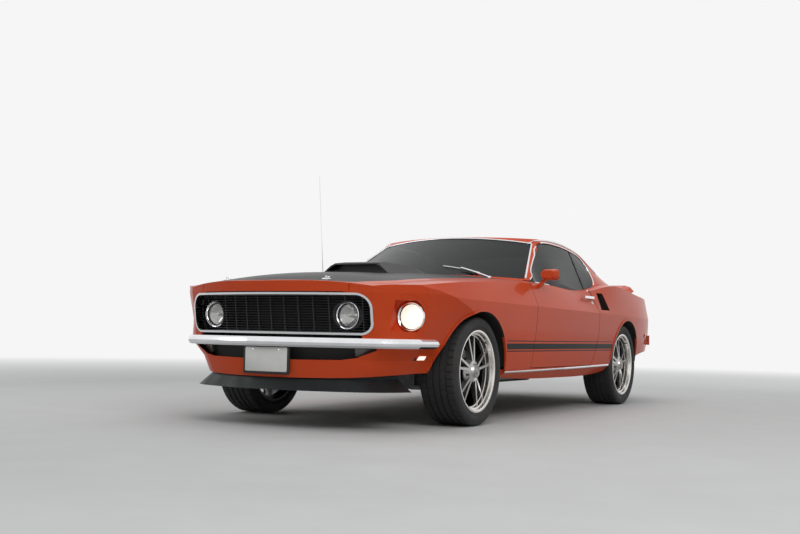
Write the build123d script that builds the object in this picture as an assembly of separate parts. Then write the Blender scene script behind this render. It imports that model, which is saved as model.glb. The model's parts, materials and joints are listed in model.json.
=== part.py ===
from build123d import *
import math
import os

# Late-1960s fastback muscle car, millimetres.
# +X is the car's left side, -Y the front, +Z up; the origin is on the ground below the middle of the car.

# Running gear
FRONT_AXLE_Y = -1400.0
REAR_AXLE_Y = 1343.0
HALF_TRACK = 743.0
TYRE_DIAMETER = 650.0
TYRE_WIDTH = 245.0
RIM_DIAMETER = 492.0
RIM_WIDTH = 225.0
KINGPIN_X = 683.0
KINGPIN_RADIUS = 12.0
SPINDLE_RADIUS = 27.7
SPINDLE_PLAY = 0.3
BORE_RADIUS = SPINDLE_RADIUS + SPINDLE_PLAY
SPOKE_PAIRS = 5
AXLE_Z = TYRE_DIAMETER / 2
ARCH_GAP = 31.0
ARCH_RADIUS = TYRE_DIAMETER / 2 + ARCH_GAP
ARCH_REACH = 24.0
ARCH_LIP_WIDTH = 16.0
LIP_PROUD = 5.0
STEER_GAP = 49.0
STEER_RADIUS = TYRE_DIAMETER / 2 + STEER_GAP

# Sheet, glass and gaps
FENDER_SKIN = 12.0
ROOF_SKIN = 30.0
HOOD_SKIN = 20.0
GLASS = 6.0
GLASS_INSET = 3.0
PILLAR_INSET = 14.0
PANEL_GAP = 4.5
FIXED_GAP = 0.5
SEAT_GAP = 0.3
HALF_GAP = PANEL_GAP / 2

# Nose, tail and bumpers
TAIL_Y = 2356.0
HOOD_LIP_Z = 763.0
FLARE_X = 893.0
FLARE_Y = -1440.0
HOOD_REAR_Y = -790.0
SURROUND_REAR_Y = -1958.0
BUMPER_Z0 = 457.0
BUMPER_Z1 = 510.0
FRONT_BUMPER_PROUD = 22.0
REAR_BUMPER_Y = TAIL_Y + 24.0
REAR_BUMPER_Z0 = 484.0
REAR_BUMPER_HEIGHT = 82.0
CHIN_SHEET = 8.0
CHIN_END_Y = -1990.0
PAN_INSET = 60.0
PAN_SHEET = 6.0

# Doors and rockers
DOOR_FRONT_TOP = (-565.0, 900.0)
DOOR_FRONT_FOOT_Y = -620.0
DOOR_REAR_Y = 640.0
DOOR_BOTTOM_Z = 333.0
DOOR_INNER_X = 752.0
DOOR_REAR_SLANT = 16.0
ROCKER_TOP_Z = DOOR_BOTTOM_Z - PANEL_GAP
ROCKER_INNER_X = 745.5
SILL_SEAL_X = 772.0
SIDE_X = 905.0

# Trunk lid
LID_FRONT_Y = 1700.0
LID_HALF_WIDTH = 598.0
LID_LIP_Z = 872.0
TAIL_TOP_Z = LID_LIP_Z - PANEL_GAP
TAIL_PANEL_X = 668.0

# Lamps
LAMP_Z = 635.0
LAMP_BEZEL = 5.0
OUTER_LAMP_X = 731.0
OUTER_LAMP_Y = -2003.0
OUTER_LAMP_R = 73.0
OUTER_LAMP_BACK = -1970.0
INNER_LAMP_X = 460.0
INNER_LAMP_Y = -2232.0
INNER_LAMP_R = 66.0
INNER_LAMP_BACK = -2170.0
LAMP_RING = 8.0
BUCKET_WALL = 9.0
TAIL_LAMPS = (434.0, 508.0, 582.0)
TAIL_LAMP_WIDTH = 52.0
MARKER_FRONT = (-1900.0, 404.0)
MARKER_REAR = (1998.0, 561.0)

# Grille
GRILLE_HALF_WIDTH = 623.0
GRILLE_Z0 = 527.0
GRILLE_Z1 = 757.0
TRIM_WIDTH = 12.0
TRIM_DEPTH = 112.0
GRILLE_FRONT_INSET = 62.0
GRILLE_BACK_INSET = 86.0
SLAT = 3.0
SLAT_PITCH = 14.5
RIB = 5.0
RIB_PITCH = 90.0
GRILLE_RIM = 6.0

# Windshield: a cylinder whose axis follows the slope of the glass
SCREEN_RADIUS = 2090.0
SCREEN_BASE = (0.0, -720.0, 950.0)
SCREEN_SLOPE = (0.0, 0.8914, 0.4531)

# Floor
FLOOR_Z = 268.0
FLOOR_TOP = FLOOR_Z + 18.0
REAR_FLOOR_Z = 430.0
REAR_TOP = REAR_FLOOR_Z + 12.0
FLOOR_HALF_WIDTH = 745.0
DASH_WALL_Y = -640.0
WALL = 12.0
JACK_PAD = (90.0, 60.0, 6.0)
JACK_PAD_X = 600.0
JACK_PAD_Y = (-500.0, 700.0)

# Lower body, half sections from nose to tail
BODY_ROWS = (
    # y, xb, zb, xl, zl, xm, zm, xc, zc, xs, zs, xi, zi, zt
    (-2450, 740, 286, 770, 300, 800, 540, 808, 786, 770, 796, 590, 800, 806),
    (-2150, 780, 300, 812, 318, 836, 530, 838, 785, 796, 800, 640, 806, 874),
    (-1750, 830, 318, 856, 335, 880, 520, 886, 753, 848, 838, 662, 850, 908),
    (-1350, 830, 300, 866, 328, 890, 520, 898, 745, 852, 864, 668, 880, 930),
    (-700, 820, 262, 866, 318, 892, 520, 903, 740, 838, 893, 674, 916, 956),
    (0, 820, 252, 866, 316, 892, 520, 905, 733, 824, 889, 664, 918, 956),
    (600, 820, 256, 866, 318, 892, 520, 905, 727, 818, 889, 650, 920, 952),
    (1050, 820, 290, 864, 330, 891, 520, 904, 722, 844, 950, 640, 964, 978),
    (1450, 820, 345, 860, 362, 888, 530, 900, 716, 843, 938, 630, 958, 985),
    (1850, 800, 392, 838, 408, 864, 560, 876, 712, 822, 904, 620, 936, 964),
    (2150, 755, 408, 792, 424, 816, 560, 826, 708, 780, 895, 610, 924, 946),
    (2420, 680, 430, 712, 445, 734, 570, 744, 704, 722, 887, 600, 912, 928),
)

# Outline of the nose in plan at several heights: an arc across the front, a corner arc and a straight side
NOSE_ROWS = (
    # z, front_y, radius, arc_x, corner_x, corner_y, side_x, side_y, end_x, end_y
    (150, -2333, 1150, 470, 592, -2115, 672, -1930, 712, -1750),
    (290, -2333, 1150, 470, 592, -2115, 672, -1930, 712, -1750),
    (390, -2348, 1250, 520, 660, -2090, 726, -1930, 756, -1745),
    (480, -2360, 1350, 600, 730, -2126, 784, -1975, 806, -1710),
    (610, -2378, 1410, 620, 732, -2120, 815, -1985, 850, -1600),
    (HOOD_LIP_Z, -2400, 1410, 640, 754, -2138, 838, -2000, 925, -1600),
    (1100, -2400, 1410, 640, 754, -2138, 838, -2000, 925, -1600),
)
BUMPER_ROW = (0, -2364, 1362, 604, 733, -2130, 790, -1975, 802, -1835)
CHIN_ROWS = (
    # z, front_y, radius, arc_x, corner_x, corner_y, side_x, side_y, end_x, end_y
    (350, -2333, 1150, 470, 592, -2115, 672, -1930, 712, -1750),
    (286, -2333, 1150, 470, 592, -2115, 672, -1930, 712, -1750),
    (216, -2345, 1300, 560, 680, -2105, 735, -1985, 752, -1900),
)

# Roof and glasshouse, half sections
ROOF_ROWS = (
    # y, xw, zw, xr, zr, xt, zt, zc
    (-800, 776, 905, 668, 1152, 628, 1172, 1198),
    (-340, 776, 905, 652, 1192, 612, 1212, 1240),
    (0, 776, 905, 645, 1226, 604, 1246, 1272),
    (350, 776, 905, 640, 1240, 598, 1260, 1286),
    (700, 774, 908, 632, 1226, 590, 1247, 1276),
    (1000, 768, 960, 622, 1176, 580, 1198, 1236),
    (1250, 764, 955, 618, 1100, 574, 1122, 1168),
    (1450, 758, 945, 616, 1020, 570, 1044, 1096),
    (1680, 746, 905, 612, 930, 560, 950, 1008),
    (1900, 700, 850, 600, 862, 540, 875, 915),
)

# Seam between hood and fender in plan
HOOD_SEAM = ((-2480.0, 480.0), (-2300.0, 508.0), (-2235.0, 548.0), (-2150.0, 602.0), (-2000.0, 644.0),
             (-1400.0, 664.0), (HOOD_REAR_Y, 674.0))
FENDER_REAR_Y = -570.0
COWL_SIDE_X = 676.0

# Windows in side view: y, z
DIVIDER_Y = DOOR_REAR_Y + 5.0
DIVIDER_WIDTH = 16.0
SIDE_OPENING = ((-430, 890), (-430, 912), (-200, 1066), (20, 1216), (240, 1226), (500, 1218), (860, 1180),
                (930, 1130), (945, 1060), (915, 985), (850, 940), (760, 890))
DOOR_WINDOW = ((-405, 885), (-405, 922), (-192, 1064), (16, 1208), (240, 1220), (500, 1212),
               (DOOR_REAR_Y - 8, 1198), (DOOR_REAR_Y - 8, 885))
QUARTER_WINDOW = ((DIVIDER_Y + 19, 885), (DIVIDER_Y + 19, 1202), (858, 1178), (927, 1130), (943, 1060),
                  (913, 985), (848, 940), (770, 885))
# Rear window in plan: x, y
REAR_WINDOW = ((0, 1030), (470, 1060), (520, 1110), (500, 1560), (440, 1610), (0, 1622))


def box(x0, x1, y0, y1, z0, z1):
    return Pos((x0 + x1) / 2, (y0 + y1) / 2, (z0 + z1) / 2) * Box(x1 - x0, y1 - y0, z1 - z0)


def mirrored(shape):
    return mirror(shape, about=Plane.YZ)


def both_sides(shape):
    return shape + mirrored(shape)


def closed_face(points):
    return Face(Wire(Polyline(*points, close=True).edges()))


def prism_x(points_yz, x0, x1):
    return Solid.extrude(closed_face([(x0, y, z) for y, z in points_yz]), Vector(x1 - x0, 0, 0))


def prism_y(points_xz, y0, y1):
    return Solid.extrude(closed_face([(x, y0, z) for x, z in points_xz]), Vector(0, y1 - y0, 0))


def prism_z(points_xy, z0, z1):
    return Solid.extrude(closed_face([(x, y, z0) for x, y in points_xy]), Vector(0, 0, z1 - z0))


def rod_x(radius, x0, x1, y, z):
    return Pos((x0 + x1) / 2, y, z) * Rot(0, 90, 0) * Cylinder(radius, x1 - x0)


def rod_y(radius, x, y0, y1, z):
    return Pos(x, (y0 + y1) / 2, z) * Rot(90, 0, 0) * Cylinder(radius, y1 - y0)


def rod_z(radius, x, y, z0, z1):
    return Pos(x, y, (z0 + z1) / 2) * Cylinder(radius, z1 - z0)


def biggest(shape):
    return max(shape.solids(), key=lambda s: s.volume)


def one(shape):
    found = list(shape.solids())
    if len(found) == 1:
        return found[0]
    return Part(Compound(found).wrapped)


PARTS = {}


def piece(name, *shapes):
    found = []
    for shape in shapes:
        found += [s for s in shape.solids() if s.volume > 50.0]
    PARTS[name] = found


# Body envelopes: the outer skin and its offsets
def body_section(row, inset, drop):
    y, xb, zb, xl, zl, xm, zm, xc, zc, xs, zs, xi, zi, zt = row
    a = (0, y, zb - drop)
    b = (xb - inset, y, zb - drop)
    c = (xl - inset, y, zl - 0.5 * drop)
    d = (xc - inset, y, zc - 0.2 * inset)
    e = (xs - 0.8 * inset, y, zs - 0.8 * inset)
    f = (xi, y, zi - inset)
    g = (0, y, zt - inset)
    ef = ((e[0] + f[0]) / 2, y, (e[2] + f[2]) / 2 + 6)
    fg = (f[0] / 2, y, g[2] - (g[2] - f[2]) * 0.25)
    return Wire([
        Line(a, b),
        Line(b, c),
        ThreePointArc(c, (xm - inset, y, zm), d),
        Line(d, e),
        ThreePointArc(e, ef, f),
        ThreePointArc(f, fg, g),
        Line(g, a),
    ])


def nose_edges(row, inset):
    z, front_y, radius, arc_x, corner_x, corner_y, side_x, side_y, end_x, end_y = row
    r = radius - inset
    centre_y = front_y + radius
    xa = arc_x - 0.4 * inset
    start = (0, centre_y - r)
    middle = (0.5 * xa, centre_y - math.sqrt(r * r - 0.25 * xa * xa))
    turn = (xa, centre_y - math.sqrt(r * r - xa * xa))
    corner = (corner_x - 0.75 * inset, corner_y + 0.66 * inset)
    side = (side_x - inset, side_y + 0.3 * inset)
    end = (end_x - inset, end_y)
    return [ThreePointArc(start, middle, turn), ThreePointArc(turn, corner, side), Line(side, end)], start, end


def plan_wire(row, inset):
    far = 1000.0
    tail = TAIL_Y - inset
    edges, start, end = nose_edges(row, inset)
    rear = [
        (max(FLARE_X, end[0] + 35) - inset, FLARE_Y),
        (far, FLARE_Y + 8),
        (far, TAIL_Y - 216),
        (838.0 - inset, TAIL_Y - 216),
        (792.0 - inset, TAIL_Y - 100),
    ]
    points = [end] + rear
    edges += [Line(points[i], points[i + 1]) for i in range(len(rear))]
    hip = (690.0 - 0.4 * inset, tail - 18)
    edges += [
        ThreePointArc(rear[-1], (757.0 - 0.8 * inset, tail - 44 + 0.4 * inset), hip),
        ThreePointArc(hip, (360.0, tail - 4), (0, tail)),
        Line((0, tail), start),
    ]
    return Wire([e.moved(Location((0, 0, row[0]))) for e in edges])


def plan_block(inset):
    return Solid.make_loft([plan_wire(row, inset) for row in NOSE_ROWS], True)


def lower_body(inset, drop=0.0):
    rows = Solid.make_loft([body_section(row, inset, drop) for row in BODY_ROWS], False)
    return rows & plan_block(inset)


def roof_section(row, inset):
    y, xw, zw, xr, zr, xt, zt, zc = row
    low = (0, y, 640)
    side = (xw - inset, y, 640)
    belt = (xw - inset, y, zw)
    rail = (xr - 0.9 * inset, y, zr - 0.3 * inset)
    turn = (xt - 0.4 * inset, y, zt - inset)
    mid = ((rail[0] + turn[0]) / 2 + 5, y, (rail[2] + turn[2]) / 2 + 4)
    crown = (turn[0] / 2, y, zc - inset - (zc - inset - turn[2]) * 0.27)
    top = (0, y, zc - inset)
    return Wire([
        Line(low, side),
        Line(side, belt),
        Line(belt, rail),
        ThreePointArc(rail, mid, turn),
        ThreePointArc(turn, crown, top),
        Line(top, low),
    ])


def screen_cylinder(inset):
    bx, by, bz = SCREEN_BASE
    dx, dy, dz = SCREEN_SLOPE
    centre = (0.0, by + SCREEN_RADIUS * dz, bz - SCREEN_RADIUS * dy)
    plane = Plane(origin=centre, x_dir=(1, 0, 0), z_dir=(0, dy, dz))
    return plane * Cylinder(SCREEN_RADIUS - inset, 9000.0)


def glasshouse(inset):
    raw = Solid.make_loft([roof_section(row, inset) for row in ROOF_ROWS], False)
    return raw & screen_cylinder(inset)


def lowered(shape, amount):
    return shape.moved(Location((0, 0, -amount)))


LOWER = lower_body(0.0)
LOWER_PROUD = lower_body(-LIP_PROUD)
LOWER_IN = lower_body(FENDER_SKIN, 220.0)
LOWER_FIT = lower_body(FENDER_SKIN + SEAT_GAP, 220.0)
LOWER_LID_IN = lower_body(HOOD_SKIN, 220.0)
SKIN = LOWER - LOWER_IN
TOP_SKIN = LOWER - LOWER_LID_IN
LIP_SKIN = LOWER_PROUD - LOWER_IN
HOUSE = glasshouse(0.0)
HOUSE_IN = glasshouse(ROOF_SKIN)
HOUSE_FOOT = glasshouse(PILLAR_INSET)
GLASS_SKIN = glasshouse(GLASS_INSET) - glasshouse(GLASS_INSET + GLASS)
ROOF_SHELL = HOUSE - HOUSE_IN


def wheel_space(axle_y, radius, x0, x1):
    return rod_x(radius, x0, x1, axle_y, AXLE_Z)


def ring_x(axle_y, r0, r1, x0, x1):
    return rod_x(r1, x0, x1, axle_y, AXLE_Z) - rod_x(r0, x0 - 5, x1 + 5, axle_y, AXLE_Z)


def seam_line(offset):
    return [(x + offset, y) for y, x in HOOD_SEAM]


# Hood and scoop
hood_plan = [(0, HOOD_SEAM[0][0])] + seam_line(-HALF_GAP) + [(0, HOOD_REAR_Y)]
hood = biggest(TOP_SKIN & prism_z(hood_plan, HOOD_LIP_Z, 1000))
piece("hood", hood + mirrored(hood))

scoop_side = [(-1445, 880), (-1442, 968), (-1420, 986), (-1330, 998), (-1150, 994), (-900, 964), (-890, 880)]
scoop_front = [(-293, 880), (-166, 984), (-142, 1002), (142, 1002), (166, 984), (293, 880)]
scoop = prism_x(scoop_side, -300, 300) & prism_y(scoop_front, -1500, -800)
scoop = scoop - prism_y([(-212, 936), (-152, 976), (152, 976), (212, 936)], -1460, -1390)
scoop = scoop - LOWER - mirrored(LOWER)
piece("hood_scoop", biggest(scoop))

# Doors
rear_lean = DOOR_REAR_SLANT / (SIDE_X - DOOR_INNER_X)


def door_wire(x):
    rear = (x - SIDE_X) * rear_lean
    points = [
        (DOOR_FRONT_TOP[0], 960.0),
        DOOR_FRONT_TOP,
        (DOOR_FRONT_FOOT_Y, DOOR_BOTTOM_Z),
        (DOOR_REAR_Y - 100.0 + rear, DOOR_BOTTOM_Z),
        (DOOR_REAR_Y - 40.0 + rear, 430.0),
        (DOOR_REAR_Y + rear, 540.0),
        (DOOR_REAR_Y + rear, 960.0),
    ]
    return Wire(Polyline(*[(x, y, z) for y, z in points], close=True).edges())


door_block = Solid.make_loft([door_wire(DOOR_INNER_X), door_wire(1000.0)], True)
door_hole = prism_x(
    [(DOOR_FRONT_TOP[0] - PANEL_GAP, 1300.0), (DOOR_FRONT_TOP[0] - PANEL_GAP, DOOR_FRONT_TOP[1]),
     (DOOR_FRONT_FOOT_Y - PANEL_GAP, ROCKER_TOP_Z),
     (DOOR_REAR_Y - 100.0 + PANEL_GAP, ROCKER_TOP_Z), (DOOR_REAR_Y - 40.0 + PANEL_GAP, 428.0),
     (DOOR_REAR_Y + PANEL_GAP, 539.0), (DOOR_REAR_Y + PANEL_GAP, 1300.0)],
    DOOR_INNER_X - 6.0, 1100.0)

# Side windows
side_opening = prism_x(SIDE_OPENING, 560, 900)
door_glass = biggest(GLASS_SKIN & prism_x(DOOR_WINDOW, 560, 900))
quarter_glass = biggest((GLASS_SKIN & prism_x(QUARTER_WINDOW, 560, 900)) - LOWER)
door = biggest((LOWER & door_block) - door_glass)
piece("door_left", door)
piece("door_right", mirrored(door))
piece("door_glass_left", door_glass)
piece("door_glass_right", mirrored(door_glass))

# Windshield
screen_plane = Plane(origin=SCREEN_BASE, x_dir=(1, 0, 0), z_dir=(0, -SCREEN_SLOPE[2], SCREEN_SLOPE[1]))


def screen_prism(grow):
    low = 744 + grow
    high = 604 + grow
    edges = [
        ThreePointArc((-low, 224 - grow), (0, 14 - grow), (low, 224 - grow)),
        Line((low, 224 - grow), (high, 748 + grow)),
        ThreePointArc((high, 748 + grow), (0, 668 + grow), (-high, 748 + grow)),
        Line((-high, 748 + grow), (-low, 224 - grow)),
    ]
    return extrude(screen_plane * make_face(edges), 160, both=True)


windshield = (screen_cylinder(GLASS_INSET) - screen_cylinder(GLASS_INSET + GLASS)) & screen_prism(0)
windshield = biggest(windshield - LOWER - mirrored(LOWER))
piece("windshield", windshield)


# Rear window
def rear_prism(grow):
    points = [(x + grow, y - grow if y < 1300 else y + grow) for x, y in REAR_WINDOW[1:-1]]
    points = [(0, REAR_WINDOW[0][1] - grow)] + points + [(0, REAR_WINDOW[-1][1] + grow)]
    return prism_z(points, 800, 1400)


rear_window = biggest((GLASS_SKIN - LOWER) & rear_prism(0))
piece("rear_window", rear_window + mirrored(rear_window))

# Roof with pillars
roof = ROOF_SHELL & box(-1, 900, -900, LID_FRONT_Y - 0.2, 600, 1400)
roof = roof - side_opening - screen_prism(FIXED_GAP) - rear_prism(FIXED_GAP)
foot = HOUSE_FOOT & box(690, 746, -500, -400, 860, 968)
divider = (HOUSE - HOUSE_FOOT) & box(600, 900, DIVIDER_Y, DIVIDER_Y + DIVIDER_WIDTH, 880, 1230)
door_air = LOWER_PROUD & box(DOOR_INNER_X - 6.0, 1000, DOOR_FRONT_TOP[0] - 8, DIVIDER_Y - 0.5, 800, 1000)
roof = biggest(roof + foot + divider - LOWER - door_air)
piece("roof_shell", roof + mirrored(roof))
quarter_glass = biggest(quarter_glass - roof)
piece("quarter_glass", quarter_glass, mirrored(quarter_glass))


# Fenders with flared arches, longer to the front where the steered tyre swings
def front_arch(radius, x0, x1):
    y = FRONT_AXLE_Y - ARCH_REACH
    middle = box(x0, x1, y, FRONT_AXLE_Y, AXLE_Z - radius, AXLE_Z + radius)
    return wheel_space(FRONT_AXLE_Y, radius, x0, x1) + wheel_space(y, radius, x0, x1) + middle


surround_side = [(-2500, 793), (-2290, 793), (-2220, 782), (-2135, 764), (-2045, 734), (-1990, 680),
                 (SURROUND_REAR_Y, 609), (SURROUND_REAR_Y, 200), (-2500, 200)]
fender_plan = seam_line(HALF_GAP) + [(COWL_SIDE_X + 0.5, FENDER_REAR_Y), (1000, FENDER_REAR_Y), (1000, -2480.0)]
fender = SKIN & prism_z(fender_plan, 200, 1000)
fender = fender - prism_x(surround_side, 400, 1000) - door_hole
fender = fender - box(500, 1000, FRONT_AXLE_Y, -500, 200, ROCKER_TOP_Z + FIXED_GAP)
lip = LIP_SKIN & (front_arch(ARCH_RADIUS + ARCH_LIP_WIDTH, 700, 1000) - front_arch(ARCH_RADIUS, 690, 1010))
lip = lip & box(690, 1000, -1900, -900, ROCKER_TOP_Z + FIXED_GAP, 900)
fender = biggest(biggest(fender) + lip - front_arch(ARCH_RADIUS, 600, 1000))
piece("front_fenders", fender, mirrored(fender))


# Grille opening: flat above and below, rounded at the sides
def grille_prism(inset):
    w = GRILLE_HALF_WIDTH - inset
    top = GRILLE_Z1 - inset
    low = GRILLE_Z0 + inset
    bend = math.sqrt(0.5)
    y = -2500.0
    upper = (540.0 + (w - 540.0) * bend, y, 668.0 + (top - 668.0) * bend)
    lower = (560.0 + (w - 560.0) * bend, y, 600.0 - (600.0 - low) * bend)
    wire = Wire([
        Line((0, y, low), (0, y, top)),
        Line((0, y, top), (540.0, y, top)),
        ThreePointArc((540.0, y, top), upper, (w, y, 668.0)),
        Line((w, y, 668.0), (w, y, 600.0)),
        ThreePointArc((w, y, 600.0), lower, (560.0, y, low)),
        Line((560.0, y, low), (0, y, low)),
    ])
    return Solid.extrude(Face(wire), Vector(0, 600, 0))


# Headlamp surrounds with their sculpted pockets
def cone_y(r0, r1, x, y0, y1, z):
    return Pos(x, (y0 + y1) / 2, z) * Rot(-90, 0, 0) * Cone(r0, r1, y1 - y0)


def lamp_pocket(grow, back):
    cone = cone_y(178 + grow, 88 + grow, OUTER_LAMP_X, -2165, -2008, LAMP_Z)
    cone = cone & box(644 - grow, 900, -2200, -2000, 551 - grow, 724 + grow)
    return cone + rod_y(OUTER_LAMP_R + LAMP_BEZEL + 2 + grow, OUTER_LAMP_X, -2045, back, LAMP_Z)


surround_cut = [(y - 0.5 if y > -2100 else y, z - 0.5) for y, z in surround_side[:7]]
surround_cut += [(SURROUND_REAR_Y - 0.5, BUMPER_Z0 + 13), (-2500, BUMPER_Z0 + 13)]
hood_air = prism_z([(0, -2600)] + [(x, y) for x, y in seam_line(HALF_GAP)] + [(0, HOOD_REAR_Y)], HOOD_LIP_Z - 1, 1000)
zone = prism_x(surround_cut, 480, 1000) - grille_prism(-FIXED_GAP) - hood_air
zone = zone - box(400, 560, -2600, -1900, 400, GRILLE_Z0 + 40)
bucket = lamp_pocket(BUCKET_WALL, OUTER_LAMP_BACK + BUCKET_WALL)
bucket = (bucket & LOWER_FIT) + (bucket & LOWER & prism_x(surround_cut, 620, 1000))
surround = biggest((TOP_SKIN & zone) + bucket - lamp_pocket(0, OUTER_LAMP_BACK))
surround = biggest(surround - grille_prism(-FIXED_GAP))
piece("headlamp_surrounds", surround, mirrored(surround))


def lamp(x, y, radius, back):
    body = rod_y(radius, x, y, back, LAMP_Z)
    dome = Pos(x, y + 2.6 * radius - 1.0, LAMP_Z) * Sphere(2.6 * radius)
    bezel = rod_y(radius + LAMP_BEZEL - SEAT_GAP, x, y + 14, back, LAMP_Z)
    return one((body & dome) + bezel)


outer_lamp = lamp(OUTER_LAMP_X, OUTER_LAMP_Y, OUTER_LAMP_R, OUTER_LAMP_BACK - SEAT_GAP)
inner_lamp = lamp(INNER_LAMP_X, INNER_LAMP_Y, INNER_LAMP_R, INNER_LAMP_BACK)
piece("headlamps", outer_lamp, mirrored(outer_lamp), inner_lamp, mirrored(inner_lamp))

# Grille: thin slats and upright ribs cut from one curved band, with a ring round each inner lamp
trim = (plan_block(-3.0) - plan_block(TRIM_DEPTH)) & (grille_prism(0) - grille_prism(TRIM_WIDTH))
piece("grille_trim", one(trim + mirrored(trim)))
band = (plan_block(GRILLE_FRONT_INSET) - plan_block(GRILLE_BACK_INSET)) & grille_prism(TRIM_WIDTH + SEAT_GAP)
lamp_hole = INNER_LAMP_R + LAMP_BEZEL
cells = grille_prism(TRIM_WIDTH + GRILLE_RIM)
cells = cells - rod_y(lamp_hole + LAMP_RING, INNER_LAMP_X, -2600, -1800, LAMP_Z)
slats = int((GRILLE_Z1 - GRILLE_Z0) / SLAT_PITCH)
first_slat = (GRILLE_Z0 + GRILLE_Z1 - (slats - 1) * SLAT_PITCH) / 2
bars = [box(-10, 700, -2600, -1800, first_slat + i * SLAT_PITCH - SLAT / 2, first_slat + i * SLAT_PITCH + SLAT / 2)
        for i in range(slats)]
ribs = int(GRILLE_HALF_WIDTH / RIB_PITCH) + 1
bars += [box(i * RIB_PITCH - RIB / 2, i * RIB_PITCH + RIB / 2, -2600, -1800, 500, 800) for i in range(ribs)]
for bar in bars:
    cells = cells - bar
half_grille = band - cells - rod_y(lamp_hole, INNER_LAMP_X, -2600, -1800, LAMP_Z)
piece("grille", biggest(half_grille + mirrored(half_grille)))


# Front bumper: an outline of its own with a rounded face
def nose_wire(row, inset, z):
    edges, start, end = nose_edges(row, inset)
    edges += [Line(end, (0, end[1])), Line((0, end[1]), start)]
    return Wire([e.moved(Location((0, 0, z))) for e in edges])


bumper_height = BUMPER_Z1 - BUMPER_Z0
bumper_steps = ((0.0, 0.3), (0.22, 0.85), (0.5, 1.0), (0.78, 0.85), (1.0, 0.4))
bumper_wires = [nose_wire(BUMPER_ROW, -FRONT_BUMPER_PROUD * proud, BUMPER_Z0 + bumper_height * part)
                for part, proud in bumper_steps]
blade = Solid.make_loft(bumper_wires, True)
hollow = Solid.extrude(Face(nose_wire(BUMPER_ROW, 6.0, 400)), Vector(0, 0, 200))
ends = [(-2500, BUMPER_Z0 - 5), (-1872, BUMPER_Z0 - 5), (-1848, BUMPER_Z0 + 9), (-1838, BUMPER_Z0 + 27),
        (-1848, BUMPER_Z1 - 9), (-1872, BUMPER_Z1 + 5), (-2500, BUMPER_Z1 + 5)]
blade = biggest((blade & prism_x(ends, -1, 1000)) - hollow - LOWER)
piece("front_bumper", blade + mirrored(blade))

# Valance, chin spoiler, parking and marker lamps
valance_front = [(0, 200), (0, 384), (440, 390), (520, 402), (620, 444), (640, BUMPER_Z0 + 12.5),
                 (900, BUMPER_Z0 + 12.5), (900, 200)]
valance = biggest(SKIN & prism_y(valance_front, -2450, SURROUND_REAR_Y - FIXED_GAP))
piece("front_valance", valance + mirrored(valance))


def chin_block(extra):
    behind = FENDER_SKIN + SEAT_GAP
    wires = [nose_wire(row, inset + extra, row[0]) for row, inset in zip(CHIN_ROWS, (behind, behind, 0.0))]
    return Solid.make_loft(wires, True)


chin = (chin_block(0) - chin_block(CHIN_SHEET)) & box(-1, 1000, -2500, CHIN_END_Y, 200, 345)
chin = biggest(chin)
piece("chin_spoiler", chin + mirrored(chin))
parking = (plan_block(PAN_INSET - 25.0) - plan_block(PAN_INSET - SEAT_GAP)) & box(500, 610, -2500, -1900, 410, 452)
parking = biggest(parking)


def marker(spot, half_height):
    y, z = spot
    lens = LOWER_PROUD & box(600, 1000, y - 30, y + 30, z - half_height, z + half_height)
    return biggest(lens - LOWER)


markers = [marker(MARKER_FRONT, 11), marker(MARKER_REAR, 16.5), parking]
piece("marker_lamps", *(markers + [mirrored(m) for m in markers]))

# Cowl
cowl_front = HOOD_REAR_Y + PANEL_GAP
cowl_rear = FENDER_REAR_Y + FIXED_GAP
cowl_plan = [(0, cowl_front), (COWL_SIDE_X, cowl_front), (COWL_SIDE_X, cowl_rear), (745.5, cowl_rear), (745.5, -440),
             (700, -440), (560, -540), (0, -640)]
cowl = biggest(TOP_SKIN & prism_z(cowl_plan, 700, 1000))
cowl = cowl + mirrored(cowl)
piece("cowl_panel", cowl)

# Quarter panels with the scoop behind the door
lid_plan = [(-10, LID_FRONT_Y), (LID_HALF_WIDTH + PANEL_GAP, LID_FRONT_Y), (LID_HALF_WIDTH + PANEL_GAP, 2500), (-10, 2500)]
quarter = SKIN & box(500, 1000, 530, 2500, 200, 1100)
quarter = quarter - door_hole - box(500, 1000, 400, 1400, 100, ROCKER_TOP_Z + FIXED_GAP) - HOUSE
quarter = quarter - prism_z(lid_plan, 850, 1100)
quarter = quarter - box(-10, TAIL_PANEL_X + FIXED_GAP, 2200, 2500, 200, TAIL_TOP_Z + FIXED_GAP)
jamb = LOWER & box(DOOR_INNER_X, 1000, DOOR_REAR_Y + PANEL_GAP, DOOR_REAR_Y + PANEL_GAP + 14,
                   ROCKER_TOP_Z + FIXED_GAP, 1000)
scoop_back = LOWER & box(786, 1000, 655, 930, 725, 895)
ramp_low = Polyline((915, 655, 750), (845, 842, 750), (845, 902, 750), (1000, 902, 750), (1000, 655, 750), close=True)
ramp_high = Polyline((868, 655, 886), (803, 842, 886), (803, 902, 886), (1000, 902, 886), (1000, 655, 886), close=True)
ramp = Solid.make_loft([Wire(ramp_low.edges()), Wire(ramp_high.edges())], True)
ramp = ramp & prism_x([(640, 752), (900, 752), (850, 884), (640, 884)], 780, 1000)
lip = LIP_SKIN & ring_x(REAR_AXLE_Y, ARCH_RADIUS, ARCH_RADIUS + ARCH_LIP_WIDTH, 780, 1000)
lip = lip & box(700, 1000, 900, 1800, ROCKER_TOP_Z + 40, 900)
quarter = quarter + scoop_back + jamb - ramp
quarter = biggest(quarter + lip - wheel_space(REAR_AXLE_Y, ARCH_RADIUS, 600, 1000))
piece("quarter_panels", quarter, mirrored(quarter))

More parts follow.
